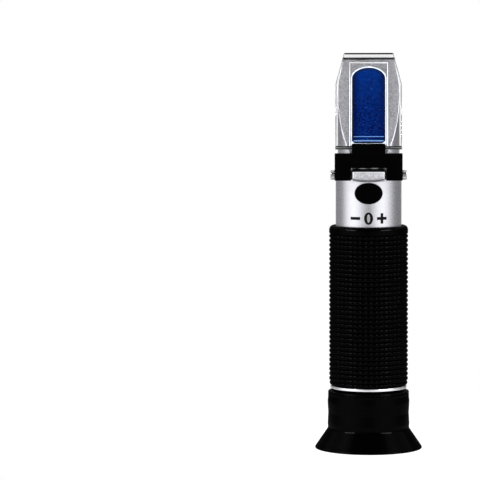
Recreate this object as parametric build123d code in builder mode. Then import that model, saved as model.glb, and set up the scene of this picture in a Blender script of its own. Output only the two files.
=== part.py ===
from build123d import *
from math import cos, radians, sin, sqrt, tan
import os

# Handheld refractometer, standing on its eyecup. +Z runs up the optical axis,
# -Y is the side of the daylight plate, and the origin is the middle of the
# eyecup's rim. All sizes are in millimetres.

# Clearances, each measured on one side
seat_fit = 0.02
running_fit = 0.05
glue_gap = 0.05

# Eyecup, from its rim upwards
rim_d = 42.6
rim_width = 2.0
rim_edge = 0.4
flare_height = 8.1
neck_d = 32.3
swell_d = 32.6
waist_d = 32.1
swell_low = 9.9
swell_high = 18.7
lip_groove_d = 31.7
lip_groove_height = 21.4
lip_groove_half = 0.3
lip_d = 32.2
lip_height = 22.8
eyecup_height = 23.6
top_land_d = 29.0
eye_opening_d = 18.0
cup_depth = 7.9
cup_floor_d = 28.0
cup_floor = 1.7
top_lip = 0.8
top_lip_d = 25.0

# Focus barrel, which turns on a coarse thread and carries the eyecup
barrel_head_d = 28.0
barrel_shank_length = 16.95
barrel_step = 2.9
focus_gap = 0.5
focus_in = 0.4
focus_out = 3.0

# Lens cell and its glass, inside the focus barrel
shank_wall = 1.5
cell_wall = 1.25
cell_play = 0.1
cell_foot = 1.3
collar_land = 1.6
lens_land = 1.2
eye_ring_start = 0.4
eye_ring_height = 1.8
eye_lens_height = 4.8
spacer_height = 15.6
field_lens_height = 3.5
lens_bulge = 0.5
clip_height = 0.7
clip_grip = 0.5
clip_stand = 1.25
clip_clearance = 0.3

# Guide screw in the tube wall, which keeps the lens cell from turning
guide_d = 2.0
guide_thread_d = 3.0
guide_sink = 0.2
guide_depth = 1.1
guide_play = 0.1

# O-rings and their grooves
o_ring_d = 0.9
o_groove_height = 1.2
o_groove_depth = 0.9
focus_o_ring_start = 4.0

# Main tube and its silver end ring
tube_bore = 22.0
tube_wall = 2.6
end_ring_stand = 1.3
end_ring_height = 1.1
end_ring_step = 0.8
end_ring_bevel = 0.25

# Rubber grip
grip_length = 63.4
grip_wall = 2.1
grip_groove = 0.65
grip_collar = 2.85
grip_collar_round = 1.4
grip_collar_step = 0.46
rib_count = 33
rib_crest_share = 0.42
grip_end_taper = 0.4

# Field stop and baffles in the tube
reticle_gap = 2.5
reticle_holder_height = 6.0
reticle_holder_wall = 2.0
reticle_land = 1.5
reticle_glass = 1.2
reticle_ring_height = 1.5
baffle_height = 1.2
baffle_width = 4.5
baffle_count = 2

# Front housing: barrel, nose and slanted prism face
barrel_d = 26.2
barrel_length = 21.4
barrel_bevel = 0.5
nose_d = 24.5
nose_length = 45.2
slope_angle = 22.7
slope_foot = 2.2
tip_half_width = 10.1
tip_taper_length = 11.0
spigot_length = 10.0
spigot_wall = 1.78
bore_head = 5.0
carrier_seat = 2.7
housing_o_ring_drop = 2.6

# Hinge boss and pin
boss_width = 12.6
boss_front = 16.5
boss_round = 2.25
boss_bottom = 2.9
boss_bevel = 0.35
boss_cone = 0.36
boss_stock = 1.0
boss_root = 1.0
pin_d = 1.6
pin_reach = 14.5
pin_drop = 0.1
pin_head_d = 3.9
pin_head_length = 1.6
pin_head_bevel = 0.3
washer_height = 0.5
washer_d = 3.8

# Hinge bracket
bracket_width = 26.6
bracket_front = 16.9
bracket_bottom = 2.2
bracket_top = 8.3
bracket_bevel = 1.2
bracket_gap = 0.15
ear_round = 2.2
notch_margin = 0.6
notch_height = 2.5
tab_width = 13.2
tab_height = 1.35
tab_overlap = 0.9

# Daylight plate, measured along the slope
plate_width = 26.2
plate_start = 7.9
plate_overhang = 1.1
plate_height = 3.1
plate_taper_length = 13.2
plate_tip_width = 19.6
plate_bevel = 0.35
pad_width = 15.3
pad_height = 0.2
pad_gap = 0.1
pad_start = 1.5
pad_end = 3.4
tongue_width = 12.0
tongue_length = 6.4
plate_screw_d = 1.6
plate_screw_head_d = 2.9
plate_screw_head = 0.8
plate_screw_bite = 1.8
plate_screw_spacing = 7.0
plate_screw_start = 4.4

# Prism and its seam
prism_width = 13.1
prism_start = 10.2
prism_tip_margin = 4.5
prism_arch = 4.66
prism_back_wall = 3.25
prism_exit_drop = 0.4
seal_width = 0.4
seal_height = 0.8

# Objective lens, its carrier and the calibration screw
carrier_room = 0.9
carrier_wall = 1.8
carrier_ring_height = 2.5
objective_height = 3.0
objective_land = 0.75
objective_ring_height = 1.2
strip_width = 4.0
strip_height = 0.3
strip_gap = 0.3
strip_length = 14.4
strip_top_gap = 0.6
strip_screw_d = 1.6
strip_screw_head_d = 3.0
strip_screw_head = 0.8
strip_screw_bite = 2.6
strip_screw_spacing = 3.5
strip_screw_start = 1.6
strip_screw_count = 2
screw_d = 3.0
screw_tip_d = 1.8
screw_tip_length = 1.2
screw_sink = 0.6
screw_slot = 0.6
screw_slot_depth = 0.6
plug_width = 10.8
plug_tall = 8.2
plug_proud = 0.55
plug_seat = 1.9
plug_pocket_gap = 0.1
plug_bevel = 0.4

# Heights worked out along the optical axis
tube_start = eyecup_height + focus_gap
grip_start = tube_start + end_ring_height
tube_end = grip_start + grip_length
nose_start = tube_end + barrel_length
nose_end = nose_start + nose_length
foot_height = nose_start + slope_foot
pin_height = nose_start - pin_drop
bore_end = nose_start - bore_head
spigot_start = tube_end - spigot_length
head_start = cup_depth + cup_floor
head_end = eyecup_height - top_lip
step_height = head_start + barrel_step
shank_end = head_end + barrel_shank_length
cell_start = step_height - cell_foot
collar_start = shank_end + cell_play
slot_start = collar_start + collar_land
guide_height = slot_start + guide_play + focus_in + guide_d / 2
slot_end = guide_height + guide_d / 2 + focus_out + guide_play
cell_end = slot_end + collar_land
reticle_start = cell_end + focus_in + reticle_gap
reticle_end = reticle_start + reticle_holder_height

# Diameters worked out from the bore of the main tube
tube_d = tube_bore + 2 * tube_wall
end_ring_d = tube_d + 2 * end_ring_stand
grip_d = tube_d + 2 * grip_wall
cell_d = tube_bore - 2 * shank_wall
lens_d = cell_d - 2 * cell_wall
clip_d = cell_d - 2 * running_fit + 2 * clip_stand
clip_bore_d = clip_d + 2 * clip_clearance
reticle_d = tube_bore - 2 * reticle_holder_wall
field_d = reticle_d - 2 * reticle_land
baffle_hole_d = tube_bore - 2 * baffle_width
housing_bore = tube_bore - 2 * seat_fit - 2 * spigot_wall
light_bore = housing_bore - 2 * carrier_seat
carrier_d = housing_bore - 2 * carrier_room
objective_d = carrier_d - 2 * carrier_wall

# The slanted face: its origin is the foot of the slope, x runs across, y runs
# up the slope, and z stands out of the face.
slope = Plane(
    origin=(0, -nose_d / 2, foot_height),
    x_dir=(1, 0, 0),
    z_dir=(0, -cos(radians(slope_angle)), sin(radians(slope_angle))),
)
slope_length = (nose_end - foot_height) / cos(radians(slope_angle))


def ring_face(inner_d, outer_d, low, high):
    """Section of a turned ring between two diameters and two heights."""
    with BuildSketch(Plane.XZ) as face:
        with Locations((inner_d / 2, low)):
            Rectangle((outer_d - inner_d) / 2, high - low, align=(Align.MIN, Align.MIN))
    return face.sketch


def turned_face(points):
    """Section of a turned piece from its (radius, height) corners."""
    with BuildSketch(Plane.XZ) as face:
        with BuildLine():
            Polyline(*points, close=True)
        make_face()
    return face.sketch


def o_ring_face(outside_d, section_d, height):
    """Round section of an o-ring whose outside reaches a diameter."""
    with BuildSketch(Plane.XZ) as face:
        with Locations((outside_d / 2 - section_d / 2, height)):
            Circle(section_d / 2)
    return face.sketch


def lens_face(lens_d, low, high, bulge):
    """Half section of a lens, flat at its edge and domed on both sides."""
    with BuildSketch(Plane.XZ) as face:
        with BuildLine():
            Line((0, low), (0, high))
            RadiusArc((0, high), (lens_d / 2, high - bulge), dome_radius(lens_d, bulge))
            Line((lens_d / 2, high - bulge), (lens_d / 2, low + bulge))
            RadiusArc((lens_d / 2, low + bulge), (0, low), dome_radius(lens_d, bulge))
        make_face()
    return face.sketch


def dome_radius(width, rise):
    """Radius of the arc that rises this much over half of this width."""
    return (width**2 / 4 + rise**2) / (2 * rise)


def arch_face(margin):
    """Outline of the prism on the slanted face, grown by a margin."""
    half = prism_width / 2 + margin
    low = prism_start - margin
    spring = slope_length - prism_tip_margin - prism_arch
    with BuildSketch(slope) as face:
        with BuildLine():
            Polyline((-half, spring), (-half, low), (half, low), (half, spring))
            EllipticalCenterArc((0, spring), half, prism_arch + margin, start_angle=0, arc_size=180)
        make_face()
    return face.sketch


def prism_block(margin):
    """Wedge under the slanted face, with an upright back and a level exit face."""
    exit_height = foot_height + prism_start * cos(radians(slope_angle)) - prism_exit_drop
    back = nose_d / 2 - prism_back_wall + margin
    with BuildPart() as block:
        extrude(arch_face(margin), amount=-nose_d)
        split(bisect_by=Plane.XY.offset(exit_height - margin), keep=Keep.TOP)
        split(bisect_by=Plane.XZ.offset(-back), keep=Keep.TOP)
    return block.part


def boss_block():
    """Hinge boss: a turned ring, milled to a flat in front and rounded on top."""
    outer = sqrt(boss_front**2 + (boss_width / 2) ** 2) + boss_stock
    root = nose_d / 2 - boss_root
    low = pin_height - boss_bottom
    high = pin_height + boss_round
    rise = boss_cone * (outer - boss_front)
    flat_top = sqrt(boss_round**2 - (boss_front - pin_reach) ** 2)
    with BuildPart() as boss:
        revolve(
            turned_face(
                [
                    (light_bore / 2, low),
                    (boss_front, low),
                    (outer, low + rise),
                    (outer, high),
                    (light_bore / 2, high),
                ]
            ),
            axis=Axis.Z,
        )
        with BuildSketch(Plane.YZ) as side:
            with BuildLine():
                Line((-boss_front, low), (-boss_front, pin_height + flat_top))
                RadiusArc((-boss_front, pin_height + flat_top), (-pin_reach, high), boss_round)
                Polyline((-pin_reach, high), (-root, high), (-root, low), (-boss_front, low))
            make_face()
        extrude(amount=boss_width / 2, both=True, mode=Mode.INTERSECT)
        flat = boss.faces().sort_by(Axis.Y)[0]
        chamfer(flat.edges().sort_by(Axis.Z)[:-1], boss_bevel)
    return boss.part


def slope_height(y, gap):
    """Height at which a face held off the slope by a gap reaches this y."""
    return foot_height + (y + nose_d / 2 + gap / cos(radians(slope_angle))) / tan(radians(slope_angle))


def slope_y(height, gap):
    """The y at this height on a face held off the slope by a gap."""
    return (height - foot_height) * tan(radians(slope_angle)) - nose_d / 2 - gap / cos(radians(slope_angle))


def disc(plane, x, y, diameter):
    """Round outline at a point of a plane."""
    with BuildSketch(plane) as face:
        with Locations((x, y)):
            Circle(diameter / 2)
    return face.sketch


os.makedirs("parts", exist_ok=True)

# Eyecup: black rubber, flared to the rim that the instrument stands on.
with BuildPart() as eyecup:
    with BuildSketch(Plane.XZ) as cup_section:
        with BuildLine():
            Polyline(
                (barrel_head_d / 2, head_start),
                (eye_opening_d / 2, head_start),
                (eye_opening_d / 2, cup_depth),
                (cup_floor_d / 2, cup_depth),
                (rim_d / 2 - rim_width, 0),
                (rim_d / 2, 0),
                (rim_d / 2, rim_edge),
                (neck_d / 2, flare_height),
                (swell_d / 2, swell_low),
            )
            ThreePointArc(
                (swell_d / 2, swell_low),
                (waist_d / 2, (swell_low + swell_high) / 2),
                (swell_d / 2, swell_high),
            )
            Polyline(
                (swell_d / 2, swell_high),
                (lip_d / 2, lip_groove_height - lip_groove_half),
                (lip_groove_d / 2, lip_groove_height),
                (lip_d / 2, lip_groove_height + lip_groove_half),
                (lip_d / 2, lip_height),
                (top_land_d / 2, eyecup_height),
                (top_lip_d / 2, eyecup_height),
                (top_lip_d / 2, head_end),
                (barrel_head_d / 2, head_end),
                (barrel_head_d / 2, head_start),
            )
        make_face()
    revolve(axis=Axis.Z)
eyecup.part.label = "eyecup"
export_step(eyecup.part, "parts/eyecup.step")

# Focus barrel: turned sleeve under the eyecup, threaded into the tube.
with BuildPart() as focus_barrel:
    head_r = barrel_head_d / 2 - seat_fit
    shank_r = tube_bore / 2 - running_fit
    groove_low = head_end + focus_o_ring_start
    revolve(
        turned_face(
            [
                (clip_bore_d / 2, head_start + seat_fit),
                (head_r, head_start + seat_fit),
                (head_r, head_end - seat_fit),
                (shank_r, head_end - seat_fit),
                (shank_r, groove_low),
                (shank_r - o_groove_depth, groove_low),
                (shank_r - o_groove_depth, groove_low + o_groove_height),
                (shank_r, groove_low + o_groove_height),
                (shank_r, shank_end),
                (cell_d / 2, shank_end),
                (cell_d / 2, step_height),
                (clip_bore_d / 2, step_height),
            ]
        ),
        axis=Axis.Z,
    )
focus_barrel.part.label = "focus_barrel"
export_step(focus_barrel.part, "parts/focus_barrel.step")

with BuildPart() as focus_o_ring:
    ring_height = head_end + focus_o_ring_start + o_groove_height / 2
    revolve(o_ring_face(tube_bore - 2 * running_fit, o_ring_d, ring_height), axis=Axis.Z)
focus_o_ring.part.label = "focus_o_ring"
export_step(focus_o_ring.part, "parts/focus_o_ring.step")

# Lens cell: slides in the tube without turning, held in the focus barrel
# between its collar and a clip.
eye_ring_low = cell_start + eye_ring_start
eye_lens_low = eye_ring_low + eye_ring_height
spacer_low = eye_lens_low + eye_lens_height
field_lens_low = spacer_low + spacer_height
field_lens_high = field_lens_low + field_lens_height
clip_high = step_height - cell_play
clip_low = clip_high - clip_height
with BuildPart() as lens_cell:
    cell_r = cell_d / 2 - running_fit
    collar_r = tube_bore / 2 - running_fit
    revolve(
        turned_face(
            [
                (lens_d / 2, cell_start),
                (cell_r, cell_start),
                (cell_r, clip_low - seat_fit),
                (cell_r - clip_grip, clip_low - seat_fit),
                (cell_r - clip_grip, clip_high + seat_fit),
                (cell_r, clip_high + seat_fit),
                (cell_r, collar_start),
                (collar_r, collar_start),
                (collar_r, cell_end),
                (lens_d / 2 - lens_land, cell_end),
                (lens_d / 2 - lens_land, field_lens_high),
                (lens_d / 2, field_lens_high),
            ]
        ),
        axis=Axis.Z,
    )
    with BuildSketch(Plane.XZ.offset(-tube_bore / 2)) as slot:
        with Locations((0, (slot_start + slot_end) / 2)):
            SlotOverall(slot_end - slot_start, guide_d + 2 * guide_play, rotation=90)
    extrude(amount=guide_depth + guide_play, mode=Mode.SUBTRACT)
lens_cell.part.label = "lens_cell"
export_step(lens_cell.part, "parts/lens_cell.step")

with BuildPart() as cell_clip:
    clip_inner_d = cell_d - 2 * running_fit - 2 * clip_grip + 2 * seat_fit
    revolve(ring_face(clip_inner_d, clip_d, clip_low, clip_high), axis=Axis.Z)
cell_clip.part.label = "cell_clip"
export_step(cell_clip.part, "parts/cell_clip.step")

with BuildPart() as eye_lens_ring:
    revolve(
        ring_face(lens_d - 2 * lens_land, lens_d - 2 * seat_fit, eye_ring_low, eye_lens_low),
        axis=Axis.Z,
    )
eye_lens_ring.part.label = "eye_lens_ring"
export_step(eye_lens_ring.part, "parts/eye_lens_ring.step")

with BuildPart() as eye_lens:
    revolve(lens_face(lens_d - 2 * seat_fit, eye_lens_low, spacer_low, lens_bulge), axis=Axis.Z)
eye_lens.part.label = "eye_lens"
export_step(eye_lens.part, "parts/eye_lens.step")

with BuildPart() as lens_spacer:
    revolve(
        ring_face(lens_d - 2 * lens_land, lens_d - 2 * seat_fit, spacer_low, field_lens_low),
        axis=Axis.Z,
    )
lens_spacer.part.label = "lens_spacer"
export_step(lens_spacer.part, "parts/lens_spacer.step")

with BuildPart() as field_lens:
    revolve(
        lens_face(lens_d - 2 * seat_fit, field_lens_low, field_lens_high, lens_bulge),
        axis=Axis.Z,
    )
field_lens.part.label = "field_lens"
export_step(field_lens.part, "parts/field_lens.step")

# Main tube: aluminium, under the rubber grip from end to end.
with BuildPart() as main_tube:
    revolve(
        turned_face(
            [
                (tube_bore / 2, tube_start),
                (tube_d / 2 - end_ring_step, tube_start),
                (tube_d / 2 - end_ring_step, grip_start),
                (tube_d / 2, grip_start),
                (tube_d / 2, tube_end),
                (tube_bore / 2, tube_end),
            ]
        ),
        axis=Axis.Z,
    )
    guide_hole = disc(Plane.XZ.offset(-tube_d / 2), 0, guide_height, guide_thread_d + 2 * seat_fit)
    extrude(guide_hole, amount=tube_wall + guide_depth, mode=Mode.SUBTRACT)
main_tube.part.label = "main_tube"
export_step(main_tube.part, "parts/main_tube.step")

# Guide screw: a headless screw with a dog point, flush under the grip.
with BuildPart() as guide_screw:
    outside = Plane.XZ.offset(guide_sink - tube_d / 2)
    thread_length = tube_wall - 2 * guide_sink
    extrude(disc(outside, 0, guide_height, guide_thread_d), amount=thread_length)
    extrude(disc(outside, 0, guide_height, guide_d), amount=tube_wall - guide_sink + guide_depth)
guide_screw.part.label = "guide_screw"
export_step(guide_screw.part, "parts/guide_screw.step")

with BuildPart() as tube_end_ring:
    revolve(
        turned_face(
            [
                (tube_d / 2 - end_ring_step + seat_fit, tube_start),
                (end_ring_d / 2 - end_ring_bevel, tube_start),
                (end_ring_d / 2, tube_start + end_ring_bevel),
                (end_ring_d / 2, grip_start - end_ring_bevel),
                (end_ring_d / 2 - end_ring_bevel, grip_start),
                (tube_d / 2 - end_ring_step + seat_fit, grip_start),
            ]
        ),
        axis=Axis.Z,
    )
tube_end_ring.part.label = "tube_end_ring"
export_step(tube_end_ring.part, "parts/tube_end_ring.step")

# Rubber grip: a sleeve with round ribs, and a smooth collar at its top.
with BuildPart() as rubber_grip:
    rib_pitch = (grip_length - grip_collar) / rib_count
    crest_r = grip_d / 2
    groove_r = crest_r - grip_groove
    outline = [(tube_d / 2, grip_start), (groove_r - grip_end_taper, grip_start)]
    for rib in range(rib_count):
        taper = grip_end_taper if rib == 0 else 0
        crest = grip_start + (rib + 0.5) * rib_pitch
        outline.append((crest_r - taper, crest - rib_crest_share / 2 * rib_pitch))
        outline.append((crest_r - taper, crest + rib_crest_share / 2 * rib_pitch))
        outline.append((groove_r, grip_start + (rib + 1) * rib_pitch))
    shoulder = tube_end - grip_collar_round
    outline.append((crest_r, tube_end - grip_collar + grip_collar_step))
    outline.append((crest_r, shoulder))
    with BuildSketch(Plane.XZ) as grip_section:
        with BuildLine():
            Polyline(*outline)
            RadiusArc((crest_r, shoulder), (crest_r - grip_collar_round, tube_end), -grip_collar_round)
            Polyline((crest_r - grip_collar_round, tube_end), (tube_d / 2, tube_end), outline[0])
        make_face()
    revolve(axis=Axis.Z)
rubber_grip.part.label = "rubber_grip"
export_step(rubber_grip.part, "parts/rubber_grip.step")

# Reticle: the glass disc with the scale, at the eyepiece's focus.
with BuildPart() as reticle_holder:
    seat_height = reticle_start + reticle_ring_height + reticle_glass
    revolve(
        turned_face(
            [
                (reticle_d / 2, reticle_start),
                (tube_bore / 2 - seat_fit, reticle_start),
                (tube_bore / 2 - seat_fit, reticle_end),
                (field_d / 2, reticle_end),
                (field_d / 2, seat_height),
                (reticle_d / 2, seat_height),
            ]
        ),
        axis=Axis.Z,
    )
reticle_holder.part.label = "reticle_holder"
export_step(reticle_holder.part, "parts/reticle_holder.step")

with BuildPart() as reticle:
    glass_low = reticle_start + reticle_ring_height
    extrude(
        disc(Plane.XY.offset(glass_low), 0, 0, reticle_d - 2 * seat_fit),
        amount=reticle_glass,
    )
reticle.part.label = "reticle"
export_step(reticle.part, "parts/reticle.step")

with BuildPart() as reticle_ring:
    revolve(
        ring_face(
            field_d,
            reticle_d - 2 * seat_fit,
            reticle_start,
            reticle_start + reticle_ring_height,
        ),
        axis=Axis.Z,
    )
reticle_ring.part.label = "reticle_ring"
export_step(reticle_ring.part, "parts/reticle_ring.step")

# Baffle rings, spread evenly between the reticle and the housing's spigot.
with BuildPart() as baffle_rings:
    clear_length = spigot_start - reticle_end
    for baffle in range(baffle_count):
        middle = reticle_end + clear_length * (baffle + 1) / (baffle_count + 1)
        revolve(
            ring_face(
                baffle_hole_d,
                tube_bore - 2 * seat_fit,
                middle - baffle_height / 2,
                middle + baffle_height / 2,
            ),
            axis=Axis.Z,
        )
baffle_rings.part.label = "baffle_rings"
export_step(baffle_rings.part, "parts/baffle_rings.step")

# Objective lens in its carrier, which the calibration screw shifts sideways.
carrier_end = bore_end - running_fit
objective_high = carrier_end - objective_land
objective_low = objective_high - objective_height
carrier_start = objective_low - objective_ring_height
screw_height = (carrier_start + carrier_end) / 2
with BuildPart() as lens_carrier:
    revolve(
        turned_face(
            [
                (objective_d / 2, carrier_start),
                (carrier_d / 2, carrier_start),
                (carrier_d / 2, carrier_end),
                (objective_d / 2 - objective_land, carrier_end),
                (objective_d / 2 - objective_land, objective_high),
                (objective_d / 2, objective_high),
            ]
        ),
        axis=Axis.Z,
    )
    tip_hole = disc(Plane.XZ.offset(carrier_d / 2), 0, screw_height, screw_tip_d + 2 * running_fit)
    extrude(tip_hole, amount=-screw_tip_length, mode=Mode.SUBTRACT)
lens_carrier.part.label = "lens_carrier"
export_step(lens_carrier.part, "parts/lens_carrier.step")

with BuildPart() as objective_lens:
    revolve(
        lens_face(objective_d - 2 * seat_fit, objective_low, objective_high, lens_bulge),
        axis=Axis.Z,
    )
objective_lens.part.label = "objective_lens"
export_step(objective_lens.part, "parts/objective_lens.step")

with BuildPart() as objective_ring:
    revolve(
        ring_face(
            objective_d - 2 * objective_land,
            objective_d - 2 * seat_fit,
            carrier_start,
            objective_low,
        ),
        axis=Axis.Z,
    )
objective_ring.part.label = "objective_ring"
export_step(objective_ring.part, "parts/objective_ring.step")

# Bimetal strip: the spring behind the carrier, which bends as it warms.
strip_inner = carrier_d / 2 + strip_gap
strip_end = bore_end - strip_top_gap
strip_low = strip_end - strip_length
strip_screw_low = strip_low + strip_screw_start
strip_screws_at = [(0, strip_screw_low + i * strip_screw_spacing) for i in range(strip_screw_count)]
with BuildPart() as bimetal_strip:
    with BuildSketch(Plane.XZ.offset(-strip_inner)) as strip_outline:
        with Locations((0, strip_low)):
            Rectangle(strip_width, strip_length, align=(Align.CENTER, Align.MIN))
        with Locations(strip_screws_at):
            Circle(strip_screw_d / 2 + seat_fit, mode=Mode.SUBTRACT)
    extrude(amount=-strip_height)
bimetal_strip.part.label = "bimetal_strip"
export_step(bimetal_strip.part, "parts/bimetal_strip.step")

with BuildPart() as strip_screws:
    for x, height in strip_screws_at:
        inner_plane = Plane.XZ.offset(-strip_inner)
        extrude(disc(inner_plane, x, height, strip_screw_head_d), amount=strip_screw_head)
        extrude(disc(inner_plane, x, height, strip_screw_d), amount=-strip_height - strip_screw_bite)
strip_screws.part.label = "strip_screws"
export_step(strip_screws.part, "parts/strip_screws.step")

# Carrier ring: screwed in under the carrier, notched for the bimetal strip.
with BuildPart() as carrier_ring:
    ring_high = carrier_start - running_fit
    revolve(
        ring_face(
            light_bore,
            housing_bore - 2 * seat_fit,
            ring_high - carrier_ring_height,
            ring_high,
        ),
        axis=Axis.Z,
    )
    with BuildSketch(Plane.XZ.offset(-(strip_inner - strip_gap))) as notch:
        with Locations((0, ring_high)):
            Rectangle(
                strip_width + 2 * strip_gap,
                carrier_ring_height,
                align=(Align.CENTER, Align.MAX),
            )
    extrude(amount=-housing_bore, mode=Mode.SUBTRACT)
carrier_ring.part.label = "carrier_ring"
export_step(carrier_ring.part, "parts/carrier_ring.step")

# Calibration screw: slotted, with a dog point that is held in the carrier.
pocket_floor = barrel_d / 2 - plug_seat
with BuildPart() as calibration_screw:
    screw_out = pocket_floor - screw_sink
    screw_in = carrier_d / 2 + running_fit
    front_plane = Plane.XZ.offset(screw_out)
    extrude(disc(front_plane, 0, screw_height, screw_d), amount=screw_in - screw_out)
    tip_reach = screw_in - screw_out - screw_tip_length
    extrude(disc(front_plane, 0, screw_height, screw_tip_d), amount=tip_reach)
    with BuildSketch(front_plane) as screw_slot_outline:
        with Locations((0, screw_height)):
            Rectangle(screw_d * 2, screw_slot)
    extrude(amount=-screw_slot_depth, mode=Mode.SUBTRACT)
calibration_screw.part.label = "calibration_screw"
export_step(calibration_screw.part, "parts/calibration_screw.step")

# Calibration plug: a domed oval of black rubber over the screw.
with BuildPart() as calibration_plug:
    plug_low = pocket_floor + plug_pocket_gap
    with BuildSketch(Plane.XZ.offset(plug_low)) as plug_outline:
        with Locations((0, screw_height)):
            Ellipse(plug_width / 2, plug_tall / 2)
    extrude(amount=barrel_d / 2 + plug_proud - plug_low)
    fillet(calibration_plug.faces().sort_by(Axis.Y)[0].edges(), plug_bevel)
calibration_plug.part.label = "calibration_plug"
export_step(calibration_plug.part, "parts/calibration_plug.step")

# Front housing: barrel, nose, slanted face, hinge boss and threaded spigot.
with BuildPart() as front_housing:
    spigot_r = tube_bore / 2 - seat_fit
    groove_high = tube_end - housing_o_ring_drop
    light_end = foot_height + prism_start * cos(radians(slope_angle)) - prism_exit_drop
    revolve(
        turned_face(
            [
                (housing_bore / 2, spigot_start),
                (spigot_r, spigot_start),
                (spigot_r, groove_high - o_groove_height),
                (spigot_r - o_groove_depth, groove_high - o_groove_height),
                (spigot_r - o_groove_depth, groove_high),
                (spigot_r, groove_high),
                (spigot_r, tube_end),
                (barrel_d / 2 - barrel_bevel, tube_end),
                (barrel_d / 2, tube_end + barrel_bevel),
                (barrel_d / 2, nose_start - barrel_bevel),
                (barrel_d / 2 - barrel_bevel, nose_start),
                (nose_d / 2, nose_start),
                (nose_d / 2, nose_end - barrel_bevel),
                (nose_d / 2 - barrel_bevel, nose_end),
                (0, nose_end),
                (0, light_end),
                (light_bore / 2, light_end),
                (light_bore / 2, bore_end),
                (housing_bore / 2, bore_end),
            ]
        ),
        axis=Axis.Z,
    )
    with BuildSketch(slope) as slanted_cut:
        Rectangle(2 * barrel_d, slope_length + barrel_d, align=(Align.CENTER, Align.MIN))
    extrude(amount=2 * barrel_d, mode=Mode.SUBTRACT)
    with BuildSketch(Plane.XZ) as tip_sides:
        for side in (-1, 1):
            with BuildLine():
                Polyline(
                    (side * tip_half_width, nose_end),
                    (side * barrel_d / 2, nose_end),
                    (side * barrel_d / 2, nose_end - tip_taper_length),
                    (side * nose_d / 2, nose_end - tip_taper_length),
                    close=True,
                )
            make_face()
    extrude(amount=barrel_d, both=True, mode=Mode.SUBTRACT)
    add(prism_block(glue_gap), mode=Mode.SUBTRACT)
    extrude(arch_face(seal_width + seat_fit), amount=-seal_height - seat_fit, mode=Mode.SUBTRACT)
    add(boss_block())
    pin_hole = disc(Plane.YZ, -pin_reach, pin_height, pin_d + 2 * seat_fit)
    extrude(pin_hole, amount=boss_width, both=True, mode=Mode.SUBTRACT)
    with BuildSketch(Plane.XZ.offset(pocket_floor)) as plug_pocket:
        with Locations((0, screw_height)):
            Ellipse(plug_width / 2 + running_fit, plug_tall / 2 + running_fit)
    extrude(amount=2 * plug_seat, mode=Mode.SUBTRACT)
    screw_hole = disc(Plane.XZ.offset(pocket_floor), 0, screw_height, screw_d + 2 * running_fit)
    extrude(screw_hole, amount=-(pocket_floor - light_bore / 2), mode=Mode.SUBTRACT)
    for x, height in strip_screws_at:
        wall_plane = Plane.XZ.offset(-strip_inner - strip_height)
        wall_hole = disc(wall_plane, x, height, strip_screw_d + 2 * seat_fit)
        extrude(wall_hole, amount=-strip_screw_bite - seat_fit, mode=Mode.SUBTRACT)
front_housing.part.label = "front_housing"
export_step(front_housing.part, "parts/front_housing.step")

with BuildPart() as housing_o_ring:
    ring_height = tube_end - housing_o_ring_drop - o_groove_height / 2
    revolve(o_ring_face(tube_bore - 2 * seat_fit, o_ring_d, ring_height), axis=Axis.Z)
housing_o_ring.part.label = "housing_o_ring"
export_step(housing_o_ring.part, "parts/housing_o_ring.step")

# Prism: blue glass, glued into its pocket, with a pale seam round its face.
with BuildPart() as prism:
    add(prism_block(0))
prism.part.label = "prism"
export_step(prism.part, "parts/prism.step")

with BuildPart() as prism_seal:
    extrude(arch_face(seal_width), amount=-seal_height)
    extrude(arch_face(glue_gap), amount=-seal_height, mode=Mode.SUBTRACT)
prism_seal.part.label = "prism_seal"
export_step(prism_seal.part, "parts/prism_seal.step")

# Hinge pin with its head, and the cap that closes its other end.
pin_half = bracket_width / 2 + running_fit
cap_bore = pin_head_length / 2
with BuildPart() as hinge_pin:
    shaft = disc(Plane.YZ.offset(-pin_half), -pin_reach, pin_height, pin_d)
    extrude(shaft, amount=2 * pin_half + cap_bore)
    head = disc(Plane.YZ.offset(-pin_half), -pin_reach, pin_height, pin_head_d)
    extrude(head, amount=-pin_head_length)
    chamfer(hinge_pin.faces().sort_by(Axis.X)[0].edges(), pin_head_bevel)
hinge_pin.part.label = "hinge_pin"
export_step(hinge_pin.part, "parts/hinge_pin.step")

with BuildPart() as hinge_pin_cap:
    cap = disc(Plane.YZ.offset(pin_half), -pin_reach, pin_height, pin_head_d)
    extrude(cap, amount=pin_head_length)
    cap_hole = disc(Plane.YZ.offset(pin_half), -pin_reach, pin_height, pin_d + 2 * seat_fit)
    extrude(cap_hole, amount=cap_bore + seat_fit, mode=Mode.SUBTRACT)
    chamfer(hinge_pin_cap.faces().sort_by(Axis.X)[-1].edges(), pin_head_bevel)
hinge_pin_cap.part.label = "hinge_pin_cap"
export_step(hinge_pin_cap.part, "parts/hinge_pin_cap.step")

with BuildPart() as hinge_washers:
    for side in (-1, 1):
        washer_plane = Plane.YZ.offset(side * (boss_width / 2 + running_fit))
        with BuildSketch(washer_plane):
            with Locations((-pin_reach, pin_height)):
                Circle(washer_d / 2)
                Circle(pin_d / 2 + seat_fit, mode=Mode.SUBTRACT)
        extrude(amount=side * washer_height)
hinge_washers.part.label = "hinge_washers"
export_step(hinge_washers.part, "parts/hinge_washers.step")

# Daylight plate: clear acrylic, tapered at its top, with a raised pad that
# lies over the prism and a tongue that sits in the bracket.
plate_end = slope_length + plate_overhang
plate_lift = pad_gap + pad_height
plate_face = plate_lift + plate_height
screws_at = [
    (side * plate_screw_spacing / 2, plate_start - plate_screw_start) for side in (-1, 1)
]


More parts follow.
